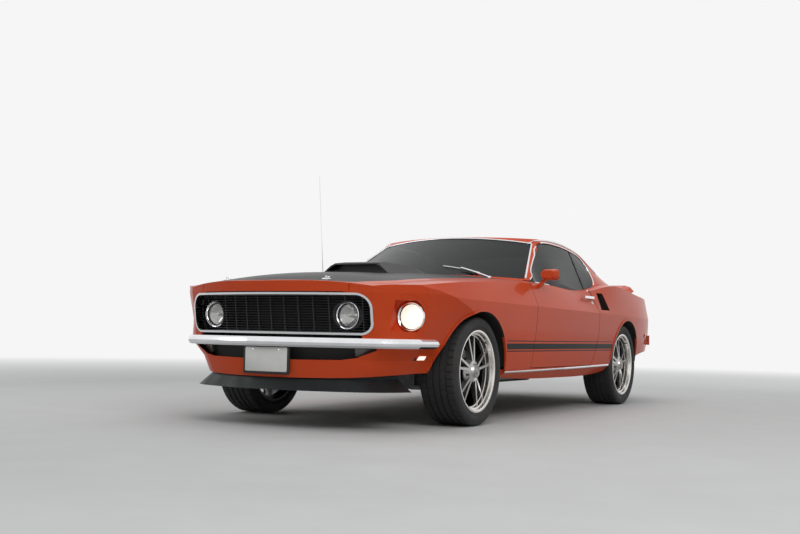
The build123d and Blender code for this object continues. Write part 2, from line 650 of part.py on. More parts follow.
# Rocker panels
rocker = LOWER & box(ROCKER_INNER_X, 1000, -1080, 1020, 200, ROCKER_TOP_Z)
rocker = rocker - wheel_space(FRONT_AXLE_Y, STEER_RADIUS, 400, 1000)
rocker = rocker - wheel_space(REAR_AXLE_Y, STEER_RADIUS, 400, 1000)
seal = box(SILL_SEAL_X, SILL_SEAL_X + 8, -560, 500, ROCKER_TOP_Z - 2, DOOR_BOTTOM_Z - SEAT_GAP)
rocker = biggest(rocker + seal)
piece("rocker_panels", rocker, mirrored(rocker))

# Trunk lid, tail panel, rear bumper and lamps
lid = (TOP_SKIN - HOUSE) + (ROOF_SHELL - LOWER)
lid = biggest(lid & box(-1, LID_HALF_WIDTH, LID_FRONT_Y + PANEL_GAP, 2500, LID_LIP_Z, 1200))
piece("trunk_lid", lid + mirrored(lid))

tail = SKIN & box(-1, TAIL_PANEL_X, 2300, 2500, 400, TAIL_TOP_Z)
tail = tail + (SKIN & box(250, 290, 2300, 2400, TAIL_TOP_Z - 2, LID_LIP_Z - SEAT_GAP))
tail = biggest(tail)
piece("tail_panel", tail + mirrored(tail))

tail_lamps = []
for x in TAIL_LAMPS:
    block = box(x, x + TAIL_LAMP_WIDTH, 2300, 2400, 652, 790) & plan_block(-9.0)
    block = biggest(block - LOWER)
    tail_lamps += [block, mirrored(block)]
piece("tail_lamps", *tail_lamps)

bumper_face = Face(Wire([
    ThreePointArc((0, REAR_BUMPER_Y, 0), (360, REAR_BUMPER_Y - 4, 0), (698, REAR_BUMPER_Y - 20, 0)),
    ThreePointArc((698, REAR_BUMPER_Y - 20, 0), (764, REAR_BUMPER_Y - 50, 0), (806, REAR_BUMPER_Y - 118, 0)),
    Line((806, REAR_BUMPER_Y - 118, 0), (840, REAR_BUMPER_Y - 230, 0)),
    Line((840, REAR_BUMPER_Y - 230, 0), (0, REAR_BUMPER_Y - 230, 0)),
    Line((0, REAR_BUMPER_Y - 230, 0), (0, REAR_BUMPER_Y, 0)),
]))
rear_blade = Solid.extrude(bumper_face, Vector(0, 0, REAR_BUMPER_HEIGHT)).moved(Location((0, 0, REAR_BUMPER_Z0)))
rear_blade = biggest(rear_blade - LOWER)
piece("rear_bumper", rear_blade + mirrored(rear_blade))


# Deck spoiler on the lid, drooping at its ends
def wing_wire(y, lower_by):
    side = [(560, 1020), (612, 1004), (646, 966), (636, 956), (600, 990), (555, 1005)]
    points = side + [(-x, z) for x, z in reversed(side)]
    return Wire(Polyline(*[(x, y, z - lower_by) for x, z in points], close=True).edges())


wing = Solid.make_loft([wing_wire(2172, 31), wing_wire(2312, 0)], True)
leg_side = [(2186, 880), (2290, 880), (2290, 1002), (2186, 982)]
leg = prism_x(leg_side, 540, 580)
legs = leg + mirrored(leg) + prism_x(leg_side, -20, 20)
wing = wing + (legs - LOWER - mirrored(LOWER) - HOUSE - mirrored(HOUSE))
piece("rear_spoiler", one(wing))

# Floor, bulkheads, wheelhouses and jacking pads
tub_radius = ARCH_RADIUS + 12
tub_sheet = 8.0
floor = box(0, FLOOR_HALF_WIDTH, DASH_WALL_Y, 880, FLOOR_Z, FLOOR_TOP)
floor = floor + box(0, 118, DASH_WALL_Y, 952, FLOOR_TOP, 400)
floor = floor + (box(0, FLOOR_HALF_WIDTH, DASH_WALL_Y - WALL, DASH_WALL_Y, FLOOR_Z, 1000) & LOWER_LID_IN)
floor = floor + (box(640, FLOOR_HALF_WIDTH, DASH_WALL_Y, -575, FLOOR_TOP, 1000) & LOWER_LID_IN)
kick = prism_x([(870, FLOOR_Z), (880, FLOOR_Z), (960, REAR_FLOOR_Z), (2360, REAR_FLOOR_Z), (2360, REAR_TOP),
                (952, REAR_TOP), (870, FLOOR_TOP)], 0, FLOOR_HALF_WIDTH)
trunk = box(700, 900, 1712, 2360, REAR_FLOOR_Z, REAR_TOP)
floor = floor + (((kick + trunk) & LOWER_FIT) - wheel_space(REAR_AXLE_Y, tub_radius + 1, 580, 1000))
tub = ring_x(REAR_AXLE_Y, tub_radius, tub_radius + tub_sheet, 588, 900) & box(500, 1000, 900, 1800, 345, 800)
tub = tub & LOWER_FIT
tub_wall = rod_x(tub_radius + tub_sheet, 580, 588, REAR_AXLE_Y, AXLE_Z) & box(500, 1000, 900, 1800, 400, 800)
shelf = box(0, 640, 1240, 1692, 868, 880) + box(0, 640, 1680, 1692, 435, 880)
inner_side = (box(733, FLOOR_HALF_WIDTH, 659, 990, 286, 905) & LOWER_LID_IN)
inner_side = inner_side - wheel_space(REAR_AXLE_Y, tub_radius + tub_sheet, 500, 1000)
floor = floor + tub + tub_wall + shelf + inner_side
floor = floor - box(-1, 100, -700, 1010, 200, 385)
floor = floor + box(0, 280, 1720, 2230, 330, REAR_FLOOR_Z)
pad_x, pad_y, pad_z = JACK_PAD
for y in JACK_PAD_Y:
    floor = floor + box(JACK_PAD_X - pad_x / 2, JACK_PAD_X + pad_x / 2, y - pad_y / 2, y + pad_y / 2,
                        FLOOR_Z - pad_z, FLOOR_Z)
floor = biggest(floor)
piece("floor_pan", one(floor + mirrored(floor)))

# Front frame: rails, aprons, wheelhouses, radiator support and the dark pan behind the bumper
frame_rear = DASH_WALL_Y - WALL - SEAT_GAP
frame = box(385, 455, -2190, frame_rear, 300, 380)
frame = frame + (box(447, 455, -2150, frame_rear, 380, 1000) & lowered(LOWER_LID_IN, 25))
arch = ring_x(FRONT_AXLE_Y, STEER_RADIUS + 4, STEER_RADIUS + 12, 455, 900)
frame = frame + (arch & box(400, 1000, -1900, -900, 345, 800) & LOWER_FIT)
frame = frame + box(0, 455, -2090, -2078, 300, 770) + box(0, 400, -2090, -2050, 300, 340)
pan = (plan_block(PAN_INSET) - plan_block(PAN_INSET + PAN_SHEET)) & box(-1, 1000, -2450, -2000, 384, 512)
pan = pan & LOWER_FIT
arm = box(385, 455, -2300, -2078, 384, 470) & plan_block(PAN_INSET + 3)
hood_stop = rod_z(12, 443, -2110, 700, 1000) & lowered(LOWER_LID_IN, SEAT_GAP)
frame = biggest(frame + biggest(pan) + arm + hood_stop)
piece("front_frame", one(frame + mirrored(frame)))

# Engine with gearbox, as one plain block
engine = box(-240, 240, -1730, -960, 345, 760) + box(-130, 130, -1500, -1020, 300 + SEAT_GAP, 345)
engine = engine + box(-95, 95, -960, -420, 296, 380) + rod_z(170, 0, -1330, 760, 842)
piece("engine", one(engine))

# Front suspension: crossmember, arms and coils
rail_side = 455 + SEAT_GAP
arm_plan = [(rail_side, FRONT_AXLE_Y - 95), (560, FRONT_AXLE_Y - 60), (KINGPIN_X, FRONT_AXLE_Y - 30),
            (KINGPIN_X + 23, FRONT_AXLE_Y - 16), (KINGPIN_X + 23, FRONT_AXLE_Y + 16), (KINGPIN_X, FRONT_AXLE_Y + 30),
            (560, FRONT_AXLE_Y + 60), (rail_side, FRONT_AXLE_Y + 95)]
pin_hole = rod_z(KINGPIN_RADIUS + SEAT_GAP, KINGPIN_X, FRONT_AXLE_Y, 150, 500)
arms = (prism_z(arm_plan, 203, 228) - pin_hole) + (prism_z(arm_plan, 430, 450) - pin_hole)
coil = rod_z(42, 545, FRONT_AXLE_Y, 450, 720) & wheel_space(FRONT_AXLE_Y, STEER_RADIUS + 4 - SEAT_GAP, 400, 800)
cross = box(0, 456, FRONT_AXLE_Y - 60, FRONT_AXLE_Y + 60, 203, 300 - SEAT_GAP)
link = box(470, 500, FRONT_AXLE_Y - 20, FRONT_AXLE_Y + 20, 228, 430)
suspension = cross + arms + coil + link
piece("front_suspension", one(suspension + mirrored(suspension)))

# Rear axle with springs and drive shaft
axle = rod_x(42, 0, 640, REAR_AXLE_Y, AXLE_Z) + rod_x(SPINDLE_RADIUS, 600, HALF_TRACK + 60, REAR_AXLE_Y, AXLE_Z)
axle = axle + rod_x(60, 640, 700, REAR_AXLE_Y, AXLE_Z) + rod_x(98, 0, 120, REAR_AXLE_Y, AXLE_Z)
spring_points = ((520, 790, 244), (520, REAR_AXLE_Y, 262), (520, 1930, 372))
leaf_points = [(x, y, z + 18) for x, y, z in spring_points]
strip = Face(Wire([
    ThreePointArc(*spring_points),
    Line(spring_points[2], leaf_points[2]),
    ThreePointArc(*leaf_points),
    Line(leaf_points[0], spring_points[0]),
]))
axle = axle + Solid.extrude(strip, Vector(50, 0, 0))
axle = axle + box(520, 570, REAR_AXLE_Y - 55, REAR_AXLE_Y + 55, 268, 300)
axle = axle + box(524, 566, 795, 835, 255, FLOOR_Z - SEAT_GAP)
axle = axle + box(524, 566, 1880, 1925, 375, REAR_FLOOR_Z - SEAT_GAP)
shaft = rod_y(34, 0, -420 + SEAT_GAP, REAR_AXLE_Y - 100, AXLE_Z + 8)
axle = axle + mirrored(axle) + shaft
piece("rear_axle", one(axle))

# Exhaust
route = FilletPolyline((200, -560, 236), (230, -300, 230), (240, 900, 230), (300, 1080, 396), (300, 1560, 396),
                       (350, 1720, 366), (350, 2345, 366), radius=60)
pipe = sweep(Plane(origin=route @ 0, z_dir=route % 0) * Circle(25), path=route)
muffler = box(150, 340, 60, 640, 196, FLOOR_Z - SEAT_GAP)
muffler = fillet(muffler.edges().filter_by(Axis.Y), 30)
exhaust = one(pipe + muffler)
piece("exhaust", exhaust, mirrored(exhaust))

# Cabin
seat_foot = FLOOR_TOP + SEAT_GAP
seat_side = [(-60, seat_foot), (-70, 440), (-40, 470), (360, 440), (470, 900), (560, 905), (600, 870), (480, 420),
             (470, seat_foot)]
front_seat = prism_x(seat_side, 150, 600)
piece("front_seats", front_seat, mirrored(front_seat))
rear_foot = REAR_TOP + SEAT_GAP
rear_side = [(762, rear_foot), (745, 500), (800, 530), (1060, 520), (1170, 860), (1236, 868 - SEAT_GAP), (1236, 560),
             (1130, 540), (1110, rear_foot)]
piece("rear_seat", prism_x(rear_side, -560, 560))
dash_front = DASH_WALL_Y + SEAT_GAP
dash_side = [(dash_front, 720), (dash_front, 900), (-560, 915), (-430, 895), (-380, 860), (-400, 700), (-560, 660)]
dash = biggest(prism_x(dash_side, -639.7, 639.7) - cowl)
piece("dashboard", dash)
tilt = Plane(origin=(370, -250, 800), x_dir=(1, 0, 0), z_dir=(0, 0.86, 0.5))
steering_wheel = tilt * Torus(180, 14) + tilt * Cylinder(45, 40) + tilt * Box(352, 30, 10) + tilt * Box(30, 352, 10)
steering_wheel = steering_wheel + tilt * Pos(0, 0, -90) * Cylinder(28, 160)
piece("steering_wheel", biggest(steering_wheel - dash))

# Mirrors and door handles
mirror_head = loft([Pos(925, -492, 958) * Rot(90, 0, 0) * RectangleRounded(90, 50, 20),
                    Pos(923, -425, 958) * Rot(90, 0, 0) * RectangleRounded(126, 76, 26)])
post = prism_y([(822, 870), (880, 920), (905, 940), (925, 940), (890, 905), (862, 870)], -462, -432)
mirror_left = one(mirror_head + biggest(post - LOWER))
piece("mirror_left", mirror_left)
piece("mirror_right", mirrored(mirror_left))
handle = biggest(box(835, 874, 400, 600, 832, 850) - LOWER)
handle = biggest(handle - box(835, 862, 436, 564, 820, 860))
piece("door_handle_left", handle)
piece("door_handle_right", mirrored(handle))

# Antenna on the right fender
lean = math.degrees(math.atan2(83, 785))
mast = Pos(-775, -640, 880) * Rot(lean, 0, 0) * (Pos(0, 0, 400) * Cylinder(3, 810) + Pos(0, 0, 20) * Cone(16, 10, 50))
piece("antenna", biggest(mast - mirrored(LOWER)))


# Wipers: blade ends and pivot given along the glass
def strip_box(x0, s0, x1, s1, width):
    turn = math.degrees(math.atan2(s1 - s0, x1 - x0))
    spot = screen_plane * Pos((x0 + x1) / 2, (s0 + s1) / 2, 0) * Rot(0, 0, turn)
    return spot * Box(math.hypot(x1 - x0, s1 - s0), width, 300)


def wiper(x0, s0, x1, s1, px, ps):
    glass_air = screen_cylinder(GLASS_INSET - SEAT_GAP)
    blade_solid = (screen_cylinder(-10) - glass_air) & strip_box(x0, s0, x1, s1, 9)
    arm_solid = (screen_cylinder(-18) - screen_cylinder(-9)) & strip_box(px, ps, (x0 + x1) / 2, (s0 + s1) / 2, 14)
    pivot = (screen_plane * Pos(px, ps, 0) * Cylinder(13, 120)) & screen_cylinder(-18)
    return one(blade_solid + arm_solid + pivot - glass_air)


WIPERS = ((-496, 329, -135, 135, 84, -8), (190, 150, 470, 128, 560, 84))
full = LOWER + mirrored(LOWER)
piece("wipers", *[biggest(wiper(*numbers) - full) for numbers in WIPERS])

# Front knuckles
knuckle = box(KINGPIN_X - 18, KINGPIN_X + 18, FRONT_AXLE_Y - 26, FRONT_AXLE_Y + 26, 228 + SEAT_GAP, 430 - SEAT_GAP)
knuckle = knuckle + rod_z(KINGPIN_RADIUS, KINGPIN_X, FRONT_AXLE_Y, 203, 450)
knuckle = knuckle + rod_x(SPINDLE_RADIUS, KINGPIN_X, HALF_TRACK + 60, FRONT_AXLE_Y, AXLE_Z)
knuckle = knuckle + rod_x(60, KINGPIN_X, HALF_TRACK - 32, FRONT_AXLE_Y, AXLE_Z)
caliper = box(KINGPIN_X, HALF_TRACK + 6, FRONT_AXLE_Y + 96, FRONT_AXLE_Y + 172, AXLE_Z - 48, AXLE_Z + 48)
caliper = caliper - rod_x(146, HALF_TRACK - 27, HALF_TRACK - 5, FRONT_AXLE_Y, AXLE_Z)
bracket = box(KINGPIN_X - 10, KINGPIN_X + 10, FRONT_AXLE_Y, FRONT_AXLE_Y + 110, AXLE_Z - 30, AXLE_Z + 30)
knuckle = one(knuckle + caliper + bracket)
piece("knuckle_left", knuckle)
piece("knuckle_right", mirrored(knuckle))

# Wheels: the outside of a wheel faces local +X
RIM_R = RIM_DIAMETER / 2
HALF_RIM = RIM_WIDTH / 2


def revolved(points):
    wire = Polyline(*[(x, 0, r) for x, r in points], close=True)
    return revolve(make_face(wire), Axis.X)


def spoke_wire(z, y, width, x0, x1):
    points = [(x0, y - width / 2, z), (x1, y - width / 2, z), (x1, y + width / 2, z), (x0, y + width / 2, z)]
    return Wire(Polyline(*points, close=True).edges())


def make_rim():
    profile = [
        (HALF_RIM, RIM_R), (HALF_RIM, RIM_R - 9), (HALF_RIM - 4.5, RIM_R - 15), (HALF_RIM - 22, RIM_R - 19),
        (HALF_RIM - 24, RIM_R - 27), (66, RIM_R - 29), (64, RIM_R - 34), (-60, RIM_R - 34),
        (-HALF_RIM + 16, RIM_R - 22), (-HALF_RIM, RIM_R - 14), (-HALF_RIM, RIM_R), (-HALF_RIM + 8, RIM_R),
        (-HALF_RIM + 14, RIM_R - 10), (-56, RIM_R - 22), (60, RIM_R - 20), (HALF_RIM - 12, RIM_R - 10),
        (HALF_RIM - 8, RIM_R)]
    rim = revolved(profile)
    hub = [(20, BORE_RADIUS), (20, 78), (52, 74), (84, 62), (90, 46), (104, 38), (104, 0), (72, 0), (72, BORE_RADIUS)]
    rim = rim + revolved(hub)
    for side in (-1, 1):
        spoke = Solid.make_loft([spoke_wire(48, 6 * side, 17, 46, 86),
                                 spoke_wire(RIM_R - 31, 40 * side, 13, 38, 66)], True)
        for i in range(SPOKE_PAIRS):
            rim = rim + Rot(360 / SPOKE_PAIRS * i, 0, 0) * spoke
    return one(rim)


def make_disc():
    return one(revolved([(20, 29), (20, 72), (-10, 80), (-10, 140), (-22, 140), (-22, 29)]))


def make_tyre():
    half = TYRE_WIDTH / 2
    r = TYRE_DIAMETER / 2
    low = RIM_R + 0.4
    edges = [
        Line((-104, 0, low), (104, 0, low)),
        Line((104, 0, low), (112, 0, low + 4)),
        ThreePointArc((112, 0, low + 4), (half, 0, low + 34), (114, 0, r - 12)),
        ThreePointArc((114, 0, r - 12), (106, 0, r - 3.5), (94, 0, r)),
        Line((94, 0, r), (-94, 0, r)),
        ThreePointArc((-94, 0, r), (-106, 0, r - 3.5), (-114, 0, r - 12)),
        ThreePointArc((-114, 0, r - 12), (-half, 0, low + 34), (-112, 0, low + 4)),
        Line((-112, 0, low + 4), (-104, 0, low)),
    ]
    return one(revolve(make_face(edges), Axis.X))


rim = make_rim()
disc = make_disc()
tyre = make_tyre()
for corner, y in (("front", FRONT_AXLE_Y), ("rear", REAR_AXLE_Y)):
    place = Pos(HALF_TRACK, y, AXLE_Z)
    left = [place * s for s in (rim, disc)]
    piece("rim_" + corner + "_left", *left)
    piece("rim_" + corner + "_right", *[mirrored(s) for s in left])
    piece("tyre_" + corner + "_left", place * tyre)
    piece("tyre_" + corner + "_right", mirrored(place * tyre))

os.makedirs("parts", exist_ok=True)
for name, found in PARTS.items():
    shape = found[0] if len(found) == 1 else Compound(found)
    export_step(shape, "parts/" + name + ".step")
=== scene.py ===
import bpy
import bmesh
import json
from math import cos, hypot, pi, radians, sin, sqrt
from mathutils import Matrix, Vector
from mathutils.bvhtree import BVHTree

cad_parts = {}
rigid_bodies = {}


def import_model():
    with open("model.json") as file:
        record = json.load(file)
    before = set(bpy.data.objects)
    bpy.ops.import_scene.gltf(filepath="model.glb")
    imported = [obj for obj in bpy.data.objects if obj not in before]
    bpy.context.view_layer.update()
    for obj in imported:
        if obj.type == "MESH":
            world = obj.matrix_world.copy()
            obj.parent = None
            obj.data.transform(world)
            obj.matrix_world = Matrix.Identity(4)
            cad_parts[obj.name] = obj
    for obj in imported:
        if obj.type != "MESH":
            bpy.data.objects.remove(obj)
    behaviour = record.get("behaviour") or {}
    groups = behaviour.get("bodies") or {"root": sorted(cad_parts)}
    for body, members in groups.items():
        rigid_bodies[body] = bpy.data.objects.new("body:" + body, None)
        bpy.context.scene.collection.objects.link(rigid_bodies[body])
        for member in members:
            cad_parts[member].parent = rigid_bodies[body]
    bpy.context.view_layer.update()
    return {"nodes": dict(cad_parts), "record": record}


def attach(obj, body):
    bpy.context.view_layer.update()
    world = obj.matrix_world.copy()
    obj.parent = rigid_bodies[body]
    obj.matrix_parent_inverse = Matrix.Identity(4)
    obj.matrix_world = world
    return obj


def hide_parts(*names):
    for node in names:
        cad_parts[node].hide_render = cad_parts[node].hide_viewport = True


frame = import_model()
nodes = frame["nodes"]
scene = bpy.context.scene

# Wheel centres and the two sides of the car; all lengths in metres
AXLE_Z = 0.325
FRONT_Y = -1.400
REAR_Y = 1.343
TRACK = 0.743
SIDES = (("left", 1), ("right", -1))
WHEELS = [("%s_%s" % (c, s), k, y) for c, y in (("front", FRONT_Y), ("rear", REAR_Y)) for s, k in SIDES]

# Camera at the photograph's place, angles in degrees
CAMERA_AT = (3.61378, -7.19391, 0.54170)
AZIMUTH, ELEVATION, ROLL = 29.7188, -3.5577, 1.1345
FOCAL_PIXELS, PHOTO_WIDTH, SENSOR_WIDTH = 1068.06, 800.0, 36.0


def add_camera():
    a = radians(AZIMUTH)
    e = radians(ELEVATION)
    roll = radians(ROLL)
    back = Vector((sin(a) * cos(e), -cos(a) * cos(e), sin(e)))
    right = Vector((0, 0, 1)).cross(back).normalized()
    up = back.cross(right).normalized()
    c, s = cos(roll), sin(roll)
    cam = bpy.data.cameras.new("camera")
    cam.sensor_fit = "HORIZONTAL"
    cam.sensor_width = SENSOR_WIDTH
    cam.lens = FOCAL_PIXELS / PHOTO_WIDTH * SENSOR_WIDTH
    cam.clip_end = 200.0
    ob = bpy.data.objects.new("camera", cam)
    m = Matrix((c * right + s * up, c * up - s * right, back)).transposed().to_4x4()
    m.translation = Vector(CAMERA_AT)
    ob.matrix_world = m
    scene.collection.objects.link(ob)
    scene.camera = ob


add_camera()


# Material helpers
def link(src, node, key):
    node.id_data.links.new(src, node.inputs[key])


def new_mat(name):
    m = bpy.data.materials.new(name)
    m.use_nodes = True
    nt = m.node_tree
    return m, nt, nt.nodes["Principled BSDF"]


def noise(nt, scale, detail=4.0, rough=0.55):
    tc = nt.nodes.new("ShaderNodeTexCoord")
    n = nt.nodes.new("ShaderNodeTexNoise")
    n.inputs["Scale"].default_value = scale
    n.inputs["Detail"].default_value = detail
    n.inputs["Roughness"].default_value = rough
    link(tc.outputs["Object"], n, "Vector")
    return n.outputs["Fac"]


def ramp(nt, src, stops):
    r = nt.nodes.new("ShaderNodeValToRGB")
    els = r.color_ramp.elements
    els[0].position, els[0].color = stops[0][0], tuple(stops[0][1]) + (1.0,)
    els[1].position, els[1].color = stops[-1][0], tuple(stops[-1][1]) + (1.0,)
    for p, c in stops[1:-1]:
        els.new(p).color = tuple(c) + (1.0,)
    link(src, r, "Fac")
    return r.outputs["Color"]


def calc(nt, op, a, b=0.0, c=0.0):
    n = nt.nodes.new("ShaderNodeMath")
    n.operation = op
    for i, v in enumerate((a, b, c)):
        if isinstance(v, (int, float)):
            n.inputs[i].default_value = v
        else:
            link(v, n, i)
    return n.outputs[0]


def mix(nt, fac, a, b):
    n = nt.nodes.new("ShaderNodeMix")
    n.data_type = "RGBA"
    for key, v in (("Factor", fac), ("A", a), ("B", b)):
        sockets = [s for s in n.inputs if s.name == key and s.enabled]
        if isinstance(v, (int, float)):
            sockets[0].default_value = v
        elif isinstance(v, tuple):
            sockets[0].default_value = v + (1.0,)
        else:
            nt.links.new(v, sockets[0])
    return [s for s in n.outputs if s.enabled][0]


def spread(nt, src, low, high, a=0.3, b=0.7):
    n = nt.nodes.new("ShaderNodeMapRange")
    for key, v in (("From Min", a), ("From Max", b), ("To Min", low), ("To Max", high)):
        n.inputs[key].default_value = v
    link(src, n, "Value")
    return n.outputs["Result"]


def place(nt):
    tc = nt.nodes.new("ShaderNodeTexCoord")
    sep = nt.nodes.new("ShaderNodeSeparateXYZ")
    link(tc.outputs["Object"], sep, 0)
    return sep.outputs


def distance_from_axis(nt, u, v):
    return calc(nt, "SQRT", calc(nt, "ADD", calc(nt, "MULTIPLY", u, u), calc(nt, "MULTIPLY", v, v)))


def bump(nt, src, bsdf, strength, distance):
    b = nt.nodes.new("ShaderNodeBump")
    b.inputs["Strength"].default_value = strength
    b.inputs["Distance"].default_value = distance
    link(src, b, "Height")
    link(b.outputs["Normal"], bsdf, "Normal")


def simple(name, dark, light, rough, metallic=0.0, scale=30.0, bump_s=0.05, bump_d=0.0005, coat=0.0,
           rough_var=0.08, spec=0.5):
    m, nt, b = new_mat(name)
    b.inputs["Specular IOR Level"].default_value = spec
    n = noise(nt, scale)
    link(ramp(nt, n, [(0.3, dark), (0.7, light)]), b, "Base Color")
    link(spread(nt, n, max(rough - rough_var, 0.02), rough + rough_var), b, "Roughness")
    b.inputs["Metallic"].default_value = metallic
    if coat:
        b.inputs["Coat Weight"].default_value = coat
        b.inputs["Coat Roughness"].default_value = COAT_ROUGHNESS
    bump(nt, n, b, bump_s, bump_d)
    return m


def between(nt, v, low, high):
    return calc(nt, "MULTIPLY", calc(nt, "GREATER_THAN", v, low), calc(nt, "LESS_THAN", v, high))


# Paint: stripes as pairs of heights, and the half width of the black on the hood along the car
STRIPES = ((0.505, 0.511), (0.455, 0.492), (0.440, 0.447))
STRIPE_FRONT_Y, STRIPE_REAR_Y, STRIPE_MIN_X = -1.052, 0.993, 0.80
COAT_ROUGHNESS = 0.04
CLEAR_COAT = 0.32
SATIN_COAT_LOSS = 0.28
ORANGE_DARK = (0.56, 0.058, 0.013)
ORANGE_LIGHT = (0.64, 0.074, 0.018)
HOOD_BLACK_EDGE = ((-2.392, 0.0), (-2.368, 0.25), (-2.345, 0.35), (-2.320, 0.43), (-2.298, 0.475),
                   (-2.240, 0.510), (-2.100, 0.550), (-1.947, 0.592), (-1.227, 0.634), (-0.780, 0.648))


def paint_mat(name, mask_maker, second):
    m, nt, b = new_mat(name)
    flakes = noise(nt, 1400.0, 1.0)
    broad = noise(nt, 1.6, 3.0)
    peel = noise(nt, 260.0, 1.0)
    base = ramp(nt, calc(nt, "MULTIPLY_ADD", flakes, 0.5, calc(nt, "MULTIPLY", broad, 0.5)),
                [(0.35, ORANGE_DARK), (0.65, ORANGE_LIGHT)])
    xyz = place(nt)
    mask = mask_maker(nt, xyz)
    dark = ramp(nt, flakes, [(0.35, tuple(0.8 * c for c in second)), (0.65, second)])
    base = mix(nt, mask, base, dark)
    film = calc(nt, "MULTIPLY", noise(nt, 7.0, 6.0, 0.7), spread(nt, xyz[2], 0.55, 0.0, 0.15, 0.42))
    base = mix(nt, calc(nt, "MULTIPLY", film, 0.35), base, (0.20, 0.17, 0.14))
    link(base, b, "Base Color")
    link(calc(nt, "ADD", spread(nt, broad, 0.28, 0.36), calc(nt, "MULTIPLY", film, 0.5)), b, "Roughness")
    link(calc(nt, "MULTIPLY_ADD", mask, -SATIN_COAT_LOSS, CLEAR_COAT), b, "Coat Weight")
    b.inputs["Coat IOR"].default_value = 1.3
    b.inputs["Coat Roughness"].default_value = COAT_ROUGHNESS
    b.inputs["Specular IOR Level"].default_value = 0.05
    bump(nt, peel, b, 0.015, 0.0003)
    return m


def stripe_mask(nt, xyz):
    side = calc(nt, "GREATER_THAN", calc(nt, "ABSOLUTE", xyz[0]), STRIPE_MIN_X)
    total = 0.0
    for low, high in STRIPES:
        band = between(nt, xyz[2], low, high)
        total = band if total == 0.0 else calc(nt, "ADD", total, band)
    along = between(nt, xyz[1], STRIPE_FRONT_Y, STRIPE_REAR_Y)
    return calc(nt, "MULTIPLY", calc(nt, "MULTIPLY", side, along), total)


def hood_mask(nt, xyz):
    y0, y1 = HOOD_BLACK_EDGE[0][0], HOOD_BLACK_EDGE[-1][0]
    along = spread(nt, xyz[1], 0.0, 1.0, y0, y1)
    edge = ramp(nt, along, [((y - y0) / (y1 - y0), (x, x, x)) for y, x in HOOD_BLACK_EDGE])
    inside = calc(nt, "LESS_THAN", calc(nt, "ABSOLUTE", xyz[0]), edge)
    return calc(nt, "MULTIPLY", inside, calc(nt, "GREATER_THAN", xyz[1], y0 + 0.002))


PAINT = paint_mat("paint_orange", stripe_mask, (0.028, 0.029, 0.029))
HOOD_PAINT = paint_mat("paint_hood", hood_mask, (0.009, 0.009, 0.010))
BLACK_PAINT = simple("paint_black", (0.008, 0.008, 0.009), (0.013, 0.013, 0.014), 0.46, scale=3.0, bump_s=0.0,
                     coat=0.08, rough_var=0.05, spec=0.25)
UNDER = simple("underbody", (0.010, 0.010, 0.011), (0.022, 0.021, 0.020), 0.75, scale=14.0, bump_s=0.25,
               bump_d=0.001)
CHROME = simple("chrome", (0.80, 0.81, 0.83), (0.88, 0.88, 0.90), 0.07, metallic=1.0, scale=9.0, bump_s=0.01,
                rough_var=0.03)
MATT = simple("matt_black", (0.008, 0.008, 0.009), (0.016, 0.016, 0.017), 0.6, scale=60.0)
SPOILER = simple("spoiler_grey", (0.006, 0.008, 0.009), (0.011, 0.014, 0.015), 0.48, scale=12.0, bump_s=0.06,
                 spec=0.2)
STEEL = simple("dull_steel", (0.12, 0.12, 0.125), (0.2, 0.2, 0.205), 0.5, metallic=0.8, scale=25.0)
DISC = simple("brake_disc", (0.25, 0.25, 0.26), (0.36, 0.36, 0.37), 0.35, metallic=1.0, scale=90.0,
              bump_s=0.1)
EXHAUST = simple("exhaust_steel", (0.3, 0.28, 0.26), (0.42, 0.4, 0.38), 0.4, metallic=1.0, scale=18.0)
IRON = simple("engine_iron", (0.03, 0.035, 0.04), (0.05, 0.055, 0.06), 0.5, metallic=0.3, scale=20.0)
CABIN = simple("cabin_plastic", (0.010, 0.010, 0.010), (0.018, 0.018, 0.018), 0.55, scale=120.0, bump_s=0.2)
CARPET = simple("carpet", (0.008, 0.008, 0.008), (0.022, 0.022, 0.021), 0.95, scale=420.0, bump_s=0.6,
                bump_d=0.002)
LINER = simple("headliner", (0.020, 0.020, 0.020), (0.030, 0.030, 0.029), 0.85, scale=300.0, bump_s=0.3)
RUBBER = simple("rubber_seal", (0.008, 0.008, 0.008), (0.014, 0.014, 0.014), 0.7, scale=60.0)
RED = simple("lamp_red", (0.26, 0.003, 0.002), (0.38, 0.005, 0.003), 0.22, scale=220.0, bump_s=0.25,
             bump_d=0.001, coat=0.3)
AMBER = simple("lamp_amber", (0.75, 0.32, 0.06), (0.85, 0.42, 0.09), 0.15, scale=220.0, bump_s=0.25,
               bump_d=0.001, coat=1.0)
SMOKE = simple("lamp_smoke", (0.09, 0.09, 0.085), (0.16, 0.155, 0.15), 0.2, scale=220.0, bump_s=0.3,
               bump_d=0.001, coat=1.0)
CAP = simple("hub_cap_alloy", (0.27, 0.26, 0.25), (0.37, 0.36, 0.34), 0.36, metallic=1.0, scale=60.0,
             bump_s=0.03)
NUT = simple("nut_steel", (0.16, 0.16, 0.16), (0.26, 0.26, 0.25), 0.42, metallic=1.0, scale=60.0)
WHITE = simple("plate_white", (0.66, 0.66, 0.63), (0.72, 0.72, 0.69), 0.45, scale=8.0, bump_s=0.03)


# Wheel alloy: polished outside this radius and depth, grey on the spokes' faces, dark between them
LIP_RADIUS, LIP_SIDE, SPOKE_SIDE = 0.208, 0.060, 0.0445


